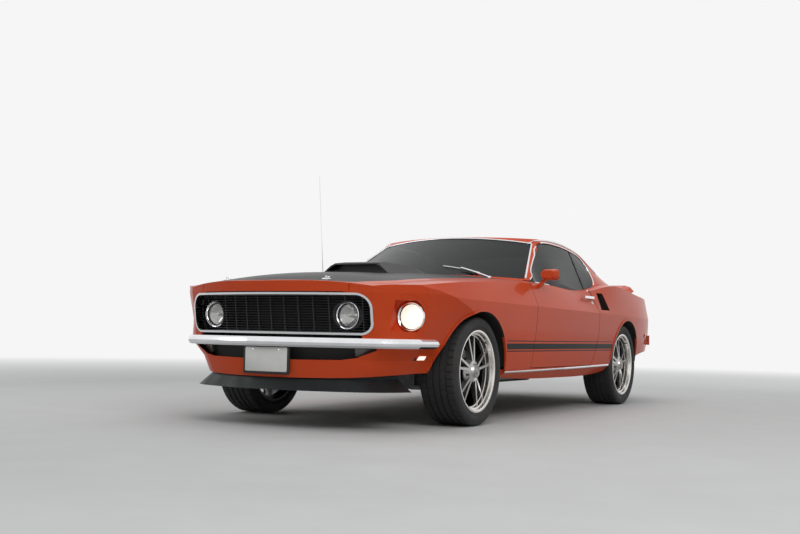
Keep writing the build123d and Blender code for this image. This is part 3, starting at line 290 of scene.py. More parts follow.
def alloy_mat():
    m, nt, b = new_mat("wheel_alloy")
    xyz = place(nt)
    side = calc(nt, "SUBTRACT", calc(nt, "ABSOLUTE", xyz[0]), TRACK)
    zz = calc(nt, "SUBTRACT", xyz[2], AXLE_Z)
    front = calc(nt, "LESS_THAN", xyz[1], 0.0)
    wheel_y = calc(nt, "ADD", calc(nt, "MULTIPLY", front, FRONT_Y - REAR_Y), REAR_Y)
    yy = calc(nt, "SUBTRACT", xyz[1], wheel_y)
    outside = calc(nt, "GREATER_THAN", distance_from_axis(nt, yy, zz), LIP_RADIUS)
    lip = calc(nt, "MULTIPLY", outside, calc(nt, "GREATER_THAN", side, LIP_SIDE))
    spoke_face = calc(nt, "GREATER_THAN", side, SPOKE_SIDE)
    n = noise(nt, 30.0)
    grey = ramp(nt, n, [(0.3, (0.46, 0.45, 0.44)), (0.7, (0.56, 0.55, 0.54))])
    dark = ramp(nt, n, [(0.3, (0.028, 0.029, 0.031)), (0.7, (0.045, 0.046, 0.05))])
    polished = ramp(nt, n, [(0.3, (0.77, 0.75, 0.72)), (0.7, (0.80, 0.78, 0.75))])
    link(mix(nt, lip, mix(nt, spoke_face, dark, grey), polished), b, "Base Color")
    b.inputs["Metallic"].default_value = 1.0
    link(calc(nt, "MULTIPLY_ADD", lip, -0.08, spread(nt, n, 0.29, 0.32)), b, "Roughness")
    bump(nt, n, b, 0.004, 0.0002)
    return m


def tyre_mat():
    m, nt, b = new_mat("tyre_rubber")
    n = noise(nt, 70.0)
    dust = noise(nt, 9.0, 6.0, 0.7)
    base = ramp(nt, n, [(0.3, (0.010, 0.010, 0.011)), (0.7, (0.018, 0.018, 0.018))])
    link(mix(nt, calc(nt, "MULTIPLY", dust, 0.08), base, (0.11, 0.10, 0.09)), b, "Base Color")
    link(spread(nt, dust, 0.58, 0.82), b, "Roughness")
    bump(nt, n, b, 0.12, 0.0006)
    return m


def glass_mat():
    m, nt, b = new_mat("window_glass")
    b.inputs["Base Color"].default_value = (0.006, 0.009, 0.009, 1)
    b.inputs["Alpha"].default_value = 0.74
    n = noise(nt, 3.0)
    link(spread(nt, n, 0.015, 0.045), b, "Roughness")
    b.inputs["Specular IOR Level"].default_value = 0.2
    bump(nt, n, b, 0.01, 0.0005)
    return m


def vinyl_mat():
    m, nt, b = new_mat("seat_vinyl")
    tc = nt.nodes.new("ShaderNodeTexCoord")
    cells = nt.nodes.new("ShaderNodeTexVoronoi")
    cells.inputs["Scale"].default_value = 420.0
    link(tc.outputs["Object"], cells, "Vector")
    n = noise(nt, 6.0)
    link(ramp(nt, n, [(0.3, (0.018, 0.018, 0.018)), (0.7, (0.028, 0.028, 0.027))]), b, "Base Color")
    link(spread(nt, n, 0.38, 0.52), b, "Roughness")
    b.inputs["Sheen Weight"].default_value = 0.1
    bump(nt, cells.outputs["Distance"], b, 0.25, 0.0006)
    return m


def lens_mat(name, glow):
    m, nt, b = new_mat(name)
    xyz = place(nt)
    flutes = calc(nt, "SINE", calc(nt, "MULTIPLY", xyz[0], 900.0))
    rows = calc(nt, "SINE", calc(nt, "MULTIPLY", xyz[2], 260.0))
    height = calc(nt, "ADD", flutes, calc(nt, "MULTIPLY", rows, 0.4))
    n = noise(nt, 40.0)
    if glow:
        warm = ramp(nt, calc(nt, "MULTIPLY_ADD", height, 0.12, n),
                    [(0.2, (0.98, 0.78, 0.60)), (0.65, (1.0, 0.96, 0.88))])
        link(warm, b, "Base Color")
        link(warm, b, "Emission Color")
        b.inputs["Emission Strength"].default_value = 1.0
    else:
        link(ramp(nt, n, [(0.3, (0.22, 0.21, 0.20)), (0.7, (0.36, 0.35, 0.33))]), b, "Base Color")
        b.inputs["Alpha"].default_value = 0.30
    b.inputs["Roughness"].default_value = 0.06
    b.inputs["Coat Weight"].default_value = 1.0
    bump(nt, height, b, 0.35, 0.0012)
    return m


ALLOY = alloy_mat()
TYRE = tyre_mat()
GLASS = glass_mat()
VINYL = vinyl_mat()
LIT = lens_mat("lamp_lit", True)
LENS = lens_mat("lamp_lens", False)
GLOW = lens_mat("marker_lit", True)
REFLECTOR = simple("lamp_reflector", (0.55, 0.55, 0.54), (0.75, 0.75, 0.73), 0.12, metallic=1.0, scale=30.0)

BY_SLOT = {"underbody": UNDER, "paint": PAINT, "black_paint": BLACK_PAINT, "glass": GLASS,
           "grille_black": MATT, "chrome": CHROME, "lamp_glass": LENS, "spoiler_black": SPOILER,
           "lamp_amber": AMBER, "lamp_red": RED, "cast_iron": IRON, "steel": STEEL, "exhaust_steel": EXHAUST,
           "seat_trim": VINYL, "cabin_plastic": CABIN, "bright_steel": CHROME, "wheel_alloy": ALLOY,
           "tyre": TYRE}


# Materials of the CAD nodes, with other finishes on the faces that turn inward; matt black set on some outer
# faces is painted shade
def finish(node, first, rest=(), chooser=None):
    me = nodes[node].data
    me.materials.clear()
    for m in (first,) + tuple(rest):
        me.materials.append(m)
    if chooser:
        for p in me.polygons:
            p.material_index = chooser(p.center, p.normal)


for sub in frame["record"]["subparts"]:
    finish(sub["node"], BY_SLOT[sub["material_slot"]])


BELT_Z = 0.88
SCOOP_Y, SCOOP_Z, SCOOP_IN_X, SCOOP_OUT_X = (0.836, 0.906), (0.74, 0.89), 0.780, 0.905


def shell_inside(c, n):
    divider = 0.615 < c.y < 0.675 and abs(c.x) > 0.58 and BELT_Z < c.z < 1.212
    if divider:
        return 2
    return 1 if n.z * (c.z - BELT_Z) + n.x * c.x < -0.02 or n.z < -0.3 else 0


def panel_side(c, n):
    x = abs(c.x)
    skin = SCOOP_OUT_X - 0.3 * (c.z - SCOOP_Z[0]) - 0.015
    # matt black on the walls of the scoop's recess is painted shade of its deep opening
    scoop_shade = SCOOP_IN_X < x < SCOOP_OUT_X and SCOOP_Y[0] < c.y < SCOOP_Y[1] and SCOOP_Z[0] < c.z < SCOOP_Z[1]
    # matt black on the quarter's forward face in the door gap is painted shade of the gap
    shut_face_shade = n.y < -0.6 and 0.6 < c.y < 0.7
    if scoop_shade and (n.y < -0.5 or abs(n.x) > 0.8) and x < skin or shut_face_shade:
        return 2
    return 1 if (n.x * c.x < -0.35 * x and n.z < 0.5) or n.z < -0.6 else 0


def floor_side(c, n):
    cabin = n.z > 0.3 and c.z > 0.28 and -0.64 < c.y < 1.24 and abs(c.x) < 0.75
    firewall = n.y > 0.5 and -0.7 < c.y < -0.6
    return 1 if cabin or firewall or (n.x * c.x < 0 and abs(c.x) > 0.7 and c.y < 1.0) else 0


finish("roof_shell", PAINT, (LINER, MATT), shell_inside)
for node in ("front_fenders", "quarter_panels"):
    finish(node, PAINT, (UNDER, MATT), panel_side)
for side, k in SIDES:
    # inner faces take cabin trim; the front edge in the door gap takes matt black, painted shade of the gap
    finish("door_" + side, PAINT, (CABIN, MATT), lambda c, n: 1 if n.x * k < -0.5 else 2 if n.y < -0.6 else 0)
finish("hood", HOOD_PAINT, (BLACK_PAINT, PAINT), lambda c, n: 1 if n.z < -0.3 else 2 if n.z < 0.5 else 0)
finish("trunk_lid", PAINT, (UNDER,), lambda c, n: 1 if n.z < -0.4 else 0)
finish("floor_pan", UNDER, (CARPET,), floor_side)
finish("wipers", CHROME)
# the pipes' rear end faces take matt black: soot and painted shade of the open bore
finish("exhaust", EXHAUST, (MATT,), lambda c, n: 1 if n.y > 0.9 and c.y > 2.34 else 0)
finish("marker_lamps", GLOW, (RED, SMOKE), lambda c, n: 1 if c.y > 0 else 2 if abs(c.x) < 0.65 else 0)
finish("rocker_panels", PAINT, (UNDER,), lambda c, n: 1 if n.x * c.x < -0.02 * abs(c.x) else 0)
DISC_RADIUS, DISC_SIDE = 0.141, 0.0205


def on_disc(c, y0):
    return hypot(c.y - y0, c.z - AXLE_Z) < DISC_RADIUS and abs(c.x) - TRACK < DISC_SIDE


for corner, k, y0 in WHEELS:
    finish("rim_" + corner, ALLOY, (DISC,), lambda c, n: 1 if on_disc(c, y0) else 0)


# Mesh helpers
def put(name, verts, faces, mats, slot, body="body", replaced=(), ids=None, sharp=35.0):
    me = bpy.data.meshes.new(name)
    me.from_pydata([tuple(v) for v in verts], [], faces)
    me.validate()
    for m in mats:
        me.materials.append(m)
    if ids:
        me.polygons.foreach_set("material_index", ids)
    bm = bmesh.new()
    bm.from_mesh(me)
    bmesh.ops.recalc_face_normals(bm, faces=bm.faces)
    bm.to_mesh(me)
    bm.free()
    me.shade_smooth()
    me.set_sharp_from_angle(angle=radians(sharp))
    ob = bpy.data.objects.new(name, me)
    scene.collection.objects.link(ob)
    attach(ob, body)
    if replaced:
        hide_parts(*replaced)
    return ob


class Build:
    def __init__(self):
        self.v, self.f, self.ids = [], [], []

    def add(self, verts, faces, mat=0):
        base = len(self.v)
        self.v += [Vector(p) for p in verts]
        self.f += [tuple(i + base for i in f) for f in faces]
        self.ids += [mat] * len(faces)

    def mirror_x(self):
        n = len(self.v)
        count = len(self.f)
        self.v += [Vector((-p.x, p.y, p.z)) for p in self.v]
        self.f += [tuple(i + n for i in reversed(f)) for f in self.f[:count]]
        self.ids += self.ids[:count]

    def make(self, name, slot, mats=None, **words):
        put(name, self.v, self.f, mats or [BY_SLOT[slot]], slot, ids=self.ids, **words)


def frame_of(axis):
    axis = Vector(axis).normalized()
    side = axis.orthogonal() if abs(axis.z) > 0.99 else Vector((0, 0, 1)).cross(axis)
    side.normalize()
    return axis, side, axis.cross(side)


def lathe(profile, origin, axis, seg=48):
    axis, u, w = frame_of(axis)
    origin = Vector(origin)
    verts, faces = [], []
    n = len(profile)
    for j in range(seg):
        a = 2 * pi * j / seg
        d = cos(a) * u + sin(a) * w
        verts += [origin + axis * x + d * r for x, r in profile]
    for j in range(seg):
        k = (j + 1) % seg
        faces += [(j * n + i, j * n + i + 1, k * n + i + 1, k * n + i) for i in range(n - 1)]
    return verts, faces


def sweep(points, section, normals=None, closed=False):
    points = [Vector(p) for p in points]
    n, m = len(points), len(section)
    verts, faces = [], []
    last = None
    for i, p in enumerate(points):
        before = points[i - 1] if i or closed else p
        after = points[(i + 1) % n] if i < n - 1 or closed else p
        t = (after - before).normalized()
        if normals:
            up = Vector(normals[i])
        else:
            up = last if last else (Vector((0, 0, 1)) if abs(t.z) < 0.9 else Vector((0, 1, 0)))
        up = (up - t * up.dot(t)).normalized()
        last = up
        side = t.cross(up)
        verts += [p + side * a + up * b for a, b in section]
    for i in range(n if closed else n - 1):
        j = (i + 1) % n
        faces += [(i * m + k, i * m + (k + 1) % m, j * m + (k + 1) % m, j * m + k) for k in range(m)]
    if not closed:
        faces += [tuple(reversed(range(m))), tuple(range((n - 1) * m, n * m))]
    return verts, faces


def turn_of(i, seg):
    return 2 * pi * i / seg


def round_section(radius, seg=10):
    return [(radius * cos(turn_of(i, seg)), radius * sin(turn_of(i, seg))) for i in range(seg)]


def shifted(dx, dy, dz):
    return lambda x, y, z: (dx + x, dy + y, dz + z)


def bead_section(width, height, seg=8):
    arc = [(0.5 * width * cos(pi * i / seg), height * sin(pi * i / seg)) for i in range(seg + 1)]
    return arc + [(-0.5 * width, -0.0012), (0.5 * width, -0.0012)]


def slab(outline, z0, z1, bevel, to_world):
    n = len(outline)
    cx = sum(p[0] for p in outline) / n
    cy = sum(p[1] for p in outline) / n

    def shrunk(amount):
        return [(x + (cx - x) * min(amount / max(hypot(x - cx, y - cy), 1e-6), 0.9),
                 y + (cy - y) * min(amount / max(hypot(x - cx, y - cy), 1e-6), 0.9)) for x, y in outline]

    rings = [(outline, z0), (outline, z1 - bevel), (shrunk(0.35 * bevel), z1 - 0.35 * bevel),
             (shrunk(bevel), z1)]
    verts = [to_world(x, y, z) for ring, z in rings for x, y in ring]
    faces = []
    for r in range(3):
        faces += [(r * n + i, r * n + (i + 1) % n, (r + 1) * n + (i + 1) % n, (r + 1) * n + i)
                  for i in range(n)]
    faces += [tuple(range(3 * n, 4 * n)), tuple(reversed(range(n)))]
    return verts, faces


def rounded_rect(w, h, r, seg=5):
    pts = []
    for cx, cy, a0 in ((w - r, h - r, 0), (r - w, h - r, 90), (r - w, r - h, 180), (w - r, r - h, 270)):
        pts += [(cx + r * cos(radians(a0 + 90 * i / seg)), cy + r * sin(radians(a0 + 90 * i / seg)))
                for i in range(seg + 1)]
    return pts


def tree_of(*names):
    verts, faces = [], []
    for n in names:
        me = nodes[n].data
        base = len(verts)
        verts += [v.co.copy() for v in me.vertices]
        faces += [[i + base for i in p.vertices] for p in me.polygons]
    return BVHTree.FromPolygons(verts, faces)


def cast(tree, origin, direction):
    hit, normal, _, _ = tree.ray_cast(Vector(origin), Vector(direction))
    if hit is None:
        return None, None
    if normal.dot(Vector(direction)) > 0:
        normal = -normal
    return hit, normal


def dense(points, step, closed=False):
    pts = [Vector(p) for p in points]
    out = []
    for i in range(len(pts) if closed else len(pts) - 1):
        a, b = pts[i], pts[(i + 1) % len(pts)]
        n = max(1, int((b - a).length / step))
        out += [a.lerp(b, j / n) for j in range(n)]
    if not closed:
        out.append(pts[-1])
    return out


def rounded_line(points, closed=False, rounds=2):
    pts = [Vector(p) for p in points]
    for _ in range(rounds):
        out = [] if closed else [pts[0]]
        for i in range(len(pts) if closed else len(pts) - 1):
            a, b = pts[i], pts[(i + 1) % len(pts)]
            out += [a.lerp(b, 0.25), a.lerp(b, 0.75)]
        if not closed:
            out.append(pts[-1])
        pts = out
    return pts


def surface_bead(build, tree, line, direction, back, width, height, closed=False):
    direction = Vector(direction)
    pts, normals = [], []
    for p in line:
        hit, normal = cast(tree, Vector(p) - direction * back, direction)
        if hit is not None:
            pts.append(hit)
            normals.append(normal)
    if len(pts) > 2:
        verts, faces = sweep(pts, bead_section(width, height), normals, closed and len(pts) == len(line))
        build.add(verts, faces)


# Tyres with a grooved tread, in place of the plain ones
TYRE_R = 0.325
BEAD_R = 0.2464
TYRE_HALF = 0.1225
TREAD_HALF = 0.098
GROOVE_DEPTH = 0.0065
TREAD_STEPS = 288
GROOVES = ((-0.062, 0.008), (-0.021, 0.009), (0.021, 0.009), (0.062, 0.008))


def tyre_mesh():
    low = BEAD_R
    side = [(0.104, low), (0.1115, low + 0.003), (0.1135, low + 0.009), (0.1165, low + 0.014),
            (0.1150, low + 0.0165), (0.1185, low + 0.020), (0.1215, low + 0.030), (TYRE_HALF, low + 0.038),
            (0.1215, low + 0.048), (0.1195, low + 0.056), (0.1180, low + 0.0575), (0.1180, low + 0.061),
            (0.1155, TYRE_R - 0.012), (0.1110, TYRE_R - 0.0065), (0.1050, TYRE_R - 0.0030),
            (TREAD_HALF, TYRE_R - 0.0012)]
    tread = []
    for x, w in GROOVES:
        tread += [(x - w / 2 - 0.001, 0), (x - w / 2, -GROOVE_DEPTH), (x + w / 2, -GROOVE_DEPTH),
                  (x + w / 2 + 0.001, 0)]
    edges = [-TREAD_HALF] + [g[0] for g in GROOVES] + [TREAD_HALF]
    middles = [(0.5 * (a + b), 0) for a, b in zip(edges, edges[1:])]
    tread = sorted(tread + middles)
    crown = [(x, TYRE_R - 0.0012 * (x / TREAD_HALF) ** 2, d) for x, d in tread]
    profile = [(x, r, 0) for x, r in side] + crown[::-1] + [(-x, r, 0) for x, r in reversed(side)]
    verts, faces = [], []
    n = len(profile)
    for j in range(TREAD_STEPS):
        a = turn_of(j, TREAD_STEPS)
        for x, r, d in profile:
            rr = r + d
            shoulder = 0.066 < abs(x) < 0.112 and r > TYRE_R - 0.008
            if shoulder and (j + (3 if x < 0 else 0)) % 6 == 0:
                rr = min(rr, TYRE_R - GROOVE_DEPTH)
            inner = 0.030 < abs(x) < 0.058 and d == 0
            if inner and (j + (2 if x < 0 else 0)) % 8 == 0:
                rr = TYRE_R - 0.004
            verts.append((x, rr * cos(a), rr * sin(a)))
    for j in range(TREAD_STEPS):
        k = (j + 1) % TREAD_STEPS
        faces += [(j * n + i, j * n + (i + 1) % n, k * n + (i + 1) % n, k * n + i) for i in range(n)]
    return verts, faces


tyre_verts, tyre_faces = tyre_mesh()
for corner, k, y0 in WHEELS:
    verts = [(k * (TRACK + x), y0 + y, AXLE_Z + z) for x, y, z in tyre_verts]
    put("tread_" + corner, verts, tyre_faces, [TYRE], body="wheel_" + corner, slot="tyre",
        replaced=("tyre_" + corner,), sharp=28)

# Hub caps, wheel nuts and valves
NUT_CIRCLE, VALVE_CIRCLE = 0.060, 0.213
for corner, k, y0 in WHEELS:
    b = Build()
    hub = (k * (TRACK + 0.104), y0, AXLE_Z)
    b.add(*lathe([(-0.001, 0.037), (0.002, 0.037), (0.0035, 0.035), (0.0035, 0.029), (0.0015, 0.027),
                  (0.0015, 0.020), (0.004, 0.017), (0.0055, 0.008), (0.0058, 0.0001)], hub, (k, 0, 0), 48))
    for i in range(5):
        a = turn_of(i + 0.5, 5)
        spot = (k * (TRACK + 0.066), y0 + NUT_CIRCLE * sin(a), AXLE_Z + NUT_CIRCLE * cos(a))
        b.add(*lathe([(0.0, 0.0125), (0.005, 0.0125), (0.006, 0.0095), (0.017, 0.0095), (0.019, 0.007),
                      (0.0195, 0.0001)], spot, (k, 0, 0), 6), 2)
    a = radians(36)
    spot = (k * (TRACK + 0.086), y0 + VALVE_CIRCLE * sin(a), AXLE_Z + VALVE_CIRCLE * cos(a))
    aim = (k, -0.25 * sin(a), -0.25 * cos(a))
    b.add(*lathe([(-0.012, 0.0035), (0.012, 0.0032), (0.013, 0.0042), (0.022, 0.0042), (0.023, 0.0001)], spot,
                 aim, 12), 1)
    b.make("hub_" + corner, "chrome", [CAP, RUBBER, NUT], body="wheel_" + corner)


# Headlamps: bezel, bowl, bulb and fluted lens; x, y, radius and the y of the pocket's back
LAMP_Z = 0.635
LAMPS = [(0.731, -2.003, 0.073, -1.971), (0.460, -2.232, 0.066, -2.172)]
bezels, outer_lens, inner_lens = Build(), Build(), Build()
for x, y, r, back in LAMPS:
    at = (x, y, LAMP_Z)
    deep = back - y
    grow = 0.008 if x > 0.6 else 0.006
    bezels.add(*lathe([(deep, r + 0.0042), (0.004, r + 0.0042), (-0.003, r + 0.0050 + grow),
                       (-0.007, r + 0.0052 + grow), (-0.011, r + 0.0035 + grow), (-0.0125, r + grow),
                       (-0.011, r + 0.0055), (-0.007, r + 0.003), (-0.005, r + 0.001)], at, (0, 1, 0), 72))
    bezels.add(*lathe([(-0.005, r + 0.001), (-0.001, r - 0.0015), (0.004, r - 0.004), (0.006, r - 0.004)], at,
                      (0, 1, 0), 72), 2)
    bezels.add(*lathe([(0.006, r - 0.004), (0.012, r * 0.92), (0.022, r * 0.72), (0.030, r * 0.42),
                       (0.0315, r * 0.2), (0.0318, 0.0001)], at, (0, 1, 0), 48), 1)
    bezels.add(*lathe([(0.031, 0.010), (0.018, 0.010), (0.012, 0.007), (0.010, 0.0001)], at, (0, 1, 0), 20),
               1)
    lens = outer_lens if x > 0.6 else inner_lens
    lens.add(*lathe([(0.003, r - 0.0035), (0.0, r - 0.004), (-0.004, r * 0.85), (-0.008, r * 0.6),
                     (-0.0105, r * 0.3), (-0.0112, 0.0001)], at, (0, 1, 0), 64))
for b in (bezels, outer_lens, inner_lens):
    b.mirror_x()
bezels.make("headlamp_bezels", "chrome", [CHROME, REFLECTOR, RUBBER], replaced=("headlamps",))
outer_lens.make("headlamp_lenses_outer", "lamp_glass", [LIT])
inner_lens.make("headlamp_lenses_inner", "lamp_glass")

# Bright mouldings round the glass; the windshield is a sheet bent to one radius on a sloped plane
SCREEN_R = 2.090
SCREEN_HALF, SCREEN_TOP, SCREEN_RISE = 0.604, 0.674, 0.080
SCREEN_CORNER, SCREEN_FOOT = (0.612, 0.742), (0.750, 0.236)
SCREEN_BASE = Vector((0.0, -0.720, 0.950))
SLOPE = Vector((0.0, 0.8914, 0.4531))
SCREEN_N = Vector((0.0, -0.4531, 0.8914))


def screen_point(x, v, lift=0.0):
    drop = SCREEN_R - sqrt(SCREEN_R ** 2 - x * x)
    normal = Vector((x, 0, 0)) + SCREEN_N * sqrt(SCREEN_R ** 2 - x * x)
    normal.normalize()
    return SCREEN_BASE + Vector((x, 0, 0)) + SLOPE * v - SCREEN_N * drop + normal * lift, normal


line = [(SCREEN_HALF * i / 20, SCREEN_TOP + SCREEN_RISE * (i / 20) ** 2) for i in range(-20, 21)]
(x0, v0), (x1, v1) = SCREEN_CORNER, SCREEN_FOOT
right_side = [(x0 + (x1 - x0) * i / 16, v0 + (v1 - v0) * i / 16) for i in range(17)]
left_side = [(-x, v) for x, v in reversed(right_side)]
b = Build()
outline = left_side + line + right_side
pts, normals = zip(*[screen_point(x, v, 0.0005) for x, v in outline])
b.add(*sweep(pts, bead_section(0.013, 0.0045), normals))
b.make("windshield_moulding", "chrome")

roof_tree = tree_of("roof_shell", "quarter_panels", "front_fenders", "cowl_panel")
door_trees = {"left": tree_of("door_left"), "right": tree_of("door_right")}
SIDE_LINE = [(-0.436, 0.915), (-0.203, 1.072), (0.018, 1.223), (0.240, 1.233), (0.502, 1.225), (0.862, 1.187),
             (0.936, 1.134), (0.952, 1.060), (0.921, 0.982), (0.872, 0.948)]
b = Build()
side_line = dense(rounded_line([(0, y, z) for y, z in SIDE_LINE]), 0.02)
surface_bead(b, roof_tree, [(0.95, p.y, p.z) for p in side_line], (-1, 0, 0), 0.3, 0.011, 0.0045)
drip = [(0, -0.42, 0.955), (0, -0.20, 1.100), (0, 0.0, 1.237), (0, 0.25, 1.252), (0, 0.52, 1.243),
        (0, 0.90, 1.198), (0, 1.05, 1.135), (0, 1.16, 1.060)]
surface_bead(b, roof_tree, [(0.95, p.y, p.z) for p in dense(rounded_line(drip), 0.03)], (-1, 0, 0), 0.3,
             0.012, 0.009)
b.mirror_x()
b.make("side_window_mouldings", "chrome")

# Moulding round the rear window
b = Build()
REAR_LINE = [(-0.528, 1.108), (-0.476, 1.053), (0.0, 1.022), (0.476, 1.053), (0.528, 1.108), (0.508, 1.564),
             (0.446, 1.618), (0.0, 1.630), (-0.446, 1.618), (-0.508, 1.564)]
rear_line = dense(rounded_line([(x, y, 0) for x, y in REAR_LINE], closed=True), 0.03, closed=True)
surface_bead(b, roof_tree, [(p.x, p.y, 1.3) for p in rear_line], (0, 0, -1), 0.3, 0.013, 0.005, closed=True)
b.make("rear_window_moulding", "chrome")

# Door belt mouldings and locks; they swing with the doors
for side, k in SIDES:
    b = Build()
    belt = dense([(0.70, -0.43, 0), (0.70, 0.628, 0)], 0.03)
    pts, normals = [], []
    for p in belt:
        best = None
        for x in [0.700 + 0.004 * i for i in range(40)]:
            hit, normal = cast(door_trees[side], (k * x, p.y, 1.2), (0, 0, -1))
            if hit is not None and (best is None or x < best[0]):
                best = (x, hit, normal)
        if best:
            edge = Vector((k * (best[0] + 0.016), p.y, 1.2))
            hit, normal = cast(door_trees[side], edge, (0, 0, -1))
            if hit is not None:
                pts.append(hit)
                normals.append(normal)
    if len(pts) > 3:
        b.add(*sweep(pts, bead_section(0.013, 0.005), normals))
    hit, normal = cast(door_trees[side], (k * 1.1, 0.575, 0.800), (-k, 0, 0))
    if hit is not None:
        b.add(*lathe([(-0.002, 0.0125), (0.003, 0.0125), (0.0045, 0.010), (0.0045, 0.0045), (0.002, 0.004),
                      (0.002, 0.0001)], hit, normal, 24))
    b.make("door_brightwork_" + side, "chrome", body="door_" + side)

# Bright strip along the rocker
rocker_tree = tree_of("rocker_panels", "front_fenders", "quarter_panels")
b = Build()
strip = dense([(0, -1.020, 0.310), (0, -0.457, 0.312), (0, 0.20, 0.318), (0, 0.985, 0.3265)], 0.03)
surface_bead(b, rocker_tree, [(1.05, p.y, p.z) for p in strip], (-1, 0, 0), 0.0, 0.016, 0.004)
b.mirror_x()
b.make("rocker_moulding", "chrome")


# Blank plate on a dark frame, with two screws
PLATE_HALF_W, PLATE_HALF_H, PLATE_FRAME = 0.144, 0.068, 0.014
hit_low, _ = cast(tree_of("front_valance", "front_bumper"), (0.0, -2.6, 0.330), (0, 1, 0))
plate_x, plate_y, plate_z = -0.001, (hit_low.y if hit_low is not None else -2.35) - 0.012, 0.3835


def on_plate(x, y, z):
    return plate_x + x, plate_y - z, plate_z + y


b = Build()
backing = rounded_rect(PLATE_HALF_W + PLATE_FRAME, PLATE_HALF_H + PLATE_FRAME, 0.010)
b.add(*slab(backing, -0.006, 0.003, 0.002, on_plate), 1)
b.add(*slab(rounded_rect(PLATE_HALF_W, PLATE_HALF_H, 0.008), 0.0, 0.0045, 0.0012, on_plate))
for share in (-0.62, 0.62):
    spot = on_plate(PLATE_HALF_W * share, PLATE_HALF_H * 0.78, 0.0045)
    b.add(*lathe([(0, 0.006), (0.0015, 0.0055), (0.0025, 0.003), (0.0027, 0.0001)], spot, (0, -1, 0), 12), 2)
b.make("front_plate", "bright_steel", [WHITE, MATT, CHROME])

# Hood pins
hood_tree = tree_of("hood")
b = Build()
for x in (0.345, -0.345):
    hit, normal = cast(hood_tree, (x, -2.285, 1.3), (0, 0, -1))
    if hit is not None:
        b.add(*lathe([(0.0, 0.026), (0.002, 0.026), (0.003, 0.023), (0.003, 0.010), (0.001, 0.009),
                      (0.001, 0.0065), (0.016, 0.006), (0.018, 0.004), (0.0185, 0.0001)], hit, normal, 32))
        right = Vector((1, 0, 0))
        ring = [hit + normal * 0.010 + right * cx + normal.cross(right) * (cy + 0.012)
                for cx, cy in round_section(0.014, 24)]
        b.add(*sweep(ring, round_section(0.0016, 6), closed=True))
b.make("hood_pins", "chrome", body="hood")

# Mirror glasses, set into the heads of the mirrors
MIRROR_X, MIRROR_Y, MIRROR_Z = 0.923, -0.425, 0.958
for side, k in SIDES:
    b = Build()
    face = rounded_rect(0.058, 0.033, 0.022)
    b.add(*slab(face, -0.002, 0.0016, 0.001, lambda x, y, z: (k * MIRROR_X + x, MIRROR_Y + z, MIRROR_Z + y)))
    rim = dense([(x * 1.02, y * 1.02, 0) for x, y in face], 0.006, closed=True)
    pts = [(k * MIRROR_X + p.x, MIRROR_Y - 0.0002, MIRROR_Z + p.y) for p in rim]
    b.add(*sweep(pts, bead_section(0.006, 0.003), [(0, 1, 0)] * len(pts), closed=True), 1)
    b.make("mirror_glass_" + side, "chrome", [REFLECTOR, RUBBER], body="door_" + side)

# Tail lamp frames, filler cap and exhaust tips
TAIL_LAMP_Z = 0.721
b = Build()
for x0, y in ((0.460, 2.3590), (0.534, 2.3560), (0.608, 2.3525)):
    rim = dense([(x, z, 0) for x, z in rounded_rect(0.0285, 0.0715, 0.006)], 0.008, closed=True)
    pts = [(x0 + p.x, y - 0.003, TAIL_LAMP_Z + p.y) for p in rim]
    b.add(*sweep(pts, bead_section(0.007, 0.005), [(0, 1, 0)] * len(pts), closed=True))
b.mirror_x()
hit, _ = cast(tree_of("tail_panel"), (0, 2.8, 0.720), (0, -1, 0))
cap_y = hit.y if hit is not None else 2.356
b.add(*lathe([(-0.001, 0.052), (0.004, 0.052), (0.007, 0.049), (0.008, 0.040), (0.006, 0.037), (0.006, 0.030),
              (0.009, 0.028), (0.0105, 0.018), (0.011, 0.0001)], (0, cap_y, TAIL_LAMP_Z), (0, 1, 0), 48))
b.make("tail_brightwork", "chrome")

b = Build()
for k in (1, -1):
    b.add(*lathe([(-0.120, 0.0258), (-0.118, 0.030), (-0.004, 0.033), (0.0, 0.032), (-0.003, 0.0295),
                  (-0.08, 0.0275)], (k * 0.350, 2.352, 0.366), (0, 1, 0), 32))
b.make("exhaust_tips", "chrome")

# Panel between the rear window and the trunk lid, under the roof's rear edge
DECK_FRONT_Y, DECK_THICKNESS, DECK_STEPS = 1.7006, 0.003, 6
lid_tree, shell_tree = tree_of("trunk_lid"), tree_of("roof_shell")
b = Build()
rows = []
for x in [0.0145 * i for i in range(-40, 41)]:
    roof_hit, _ = cast(shell_tree, (x, 1.6975, 1.4), (0, 0, -1))
    lid_hit = None
    for y in [1.703 + 0.001 * i for i in range(160)]:
        lid_hit, _ = cast(lid_tree, (x, y, 1.4), (0, 0, -1))
        if lid_hit is not None and lid_hit.z > 0.90:
            break
    if roof_hit is not None and lid_hit is not None:
        rows.append((x, roof_hit.z - 0.0012, lid_hit.y - 0.0025, lid_hit.z - 0.0006))
if len(rows) > 3:
    verts = []
    shares = [s / DECK_STEPS for s in range(DECK_STEPS + 1)]
    for x, z0, y1, z1 in rows:
        length = max(y1 - DECK_FRONT_Y, 0.0004)
        top = [(x, DECK_FRONT_Y + length * s, z0 + (z1 - z0) * s) for s in shares]
        verts += top + [(px, py, pz - DECK_THICKNESS) for px, py, pz in reversed(top)]
    m, n = 2 * (DECK_STEPS + 1), len(rows)
    faces = [(m * i + k, m * i + (k + 1) % m, m * i + m + (k + 1) % m, m * i + m + k)
             for i in range(n - 1) for k in range(m)]
    faces += [tuple(range(m)), tuple(m * n - 1 - k for k in range(m))]
    b.add(verts, faces)
    b.make("deck_panel", "paint")
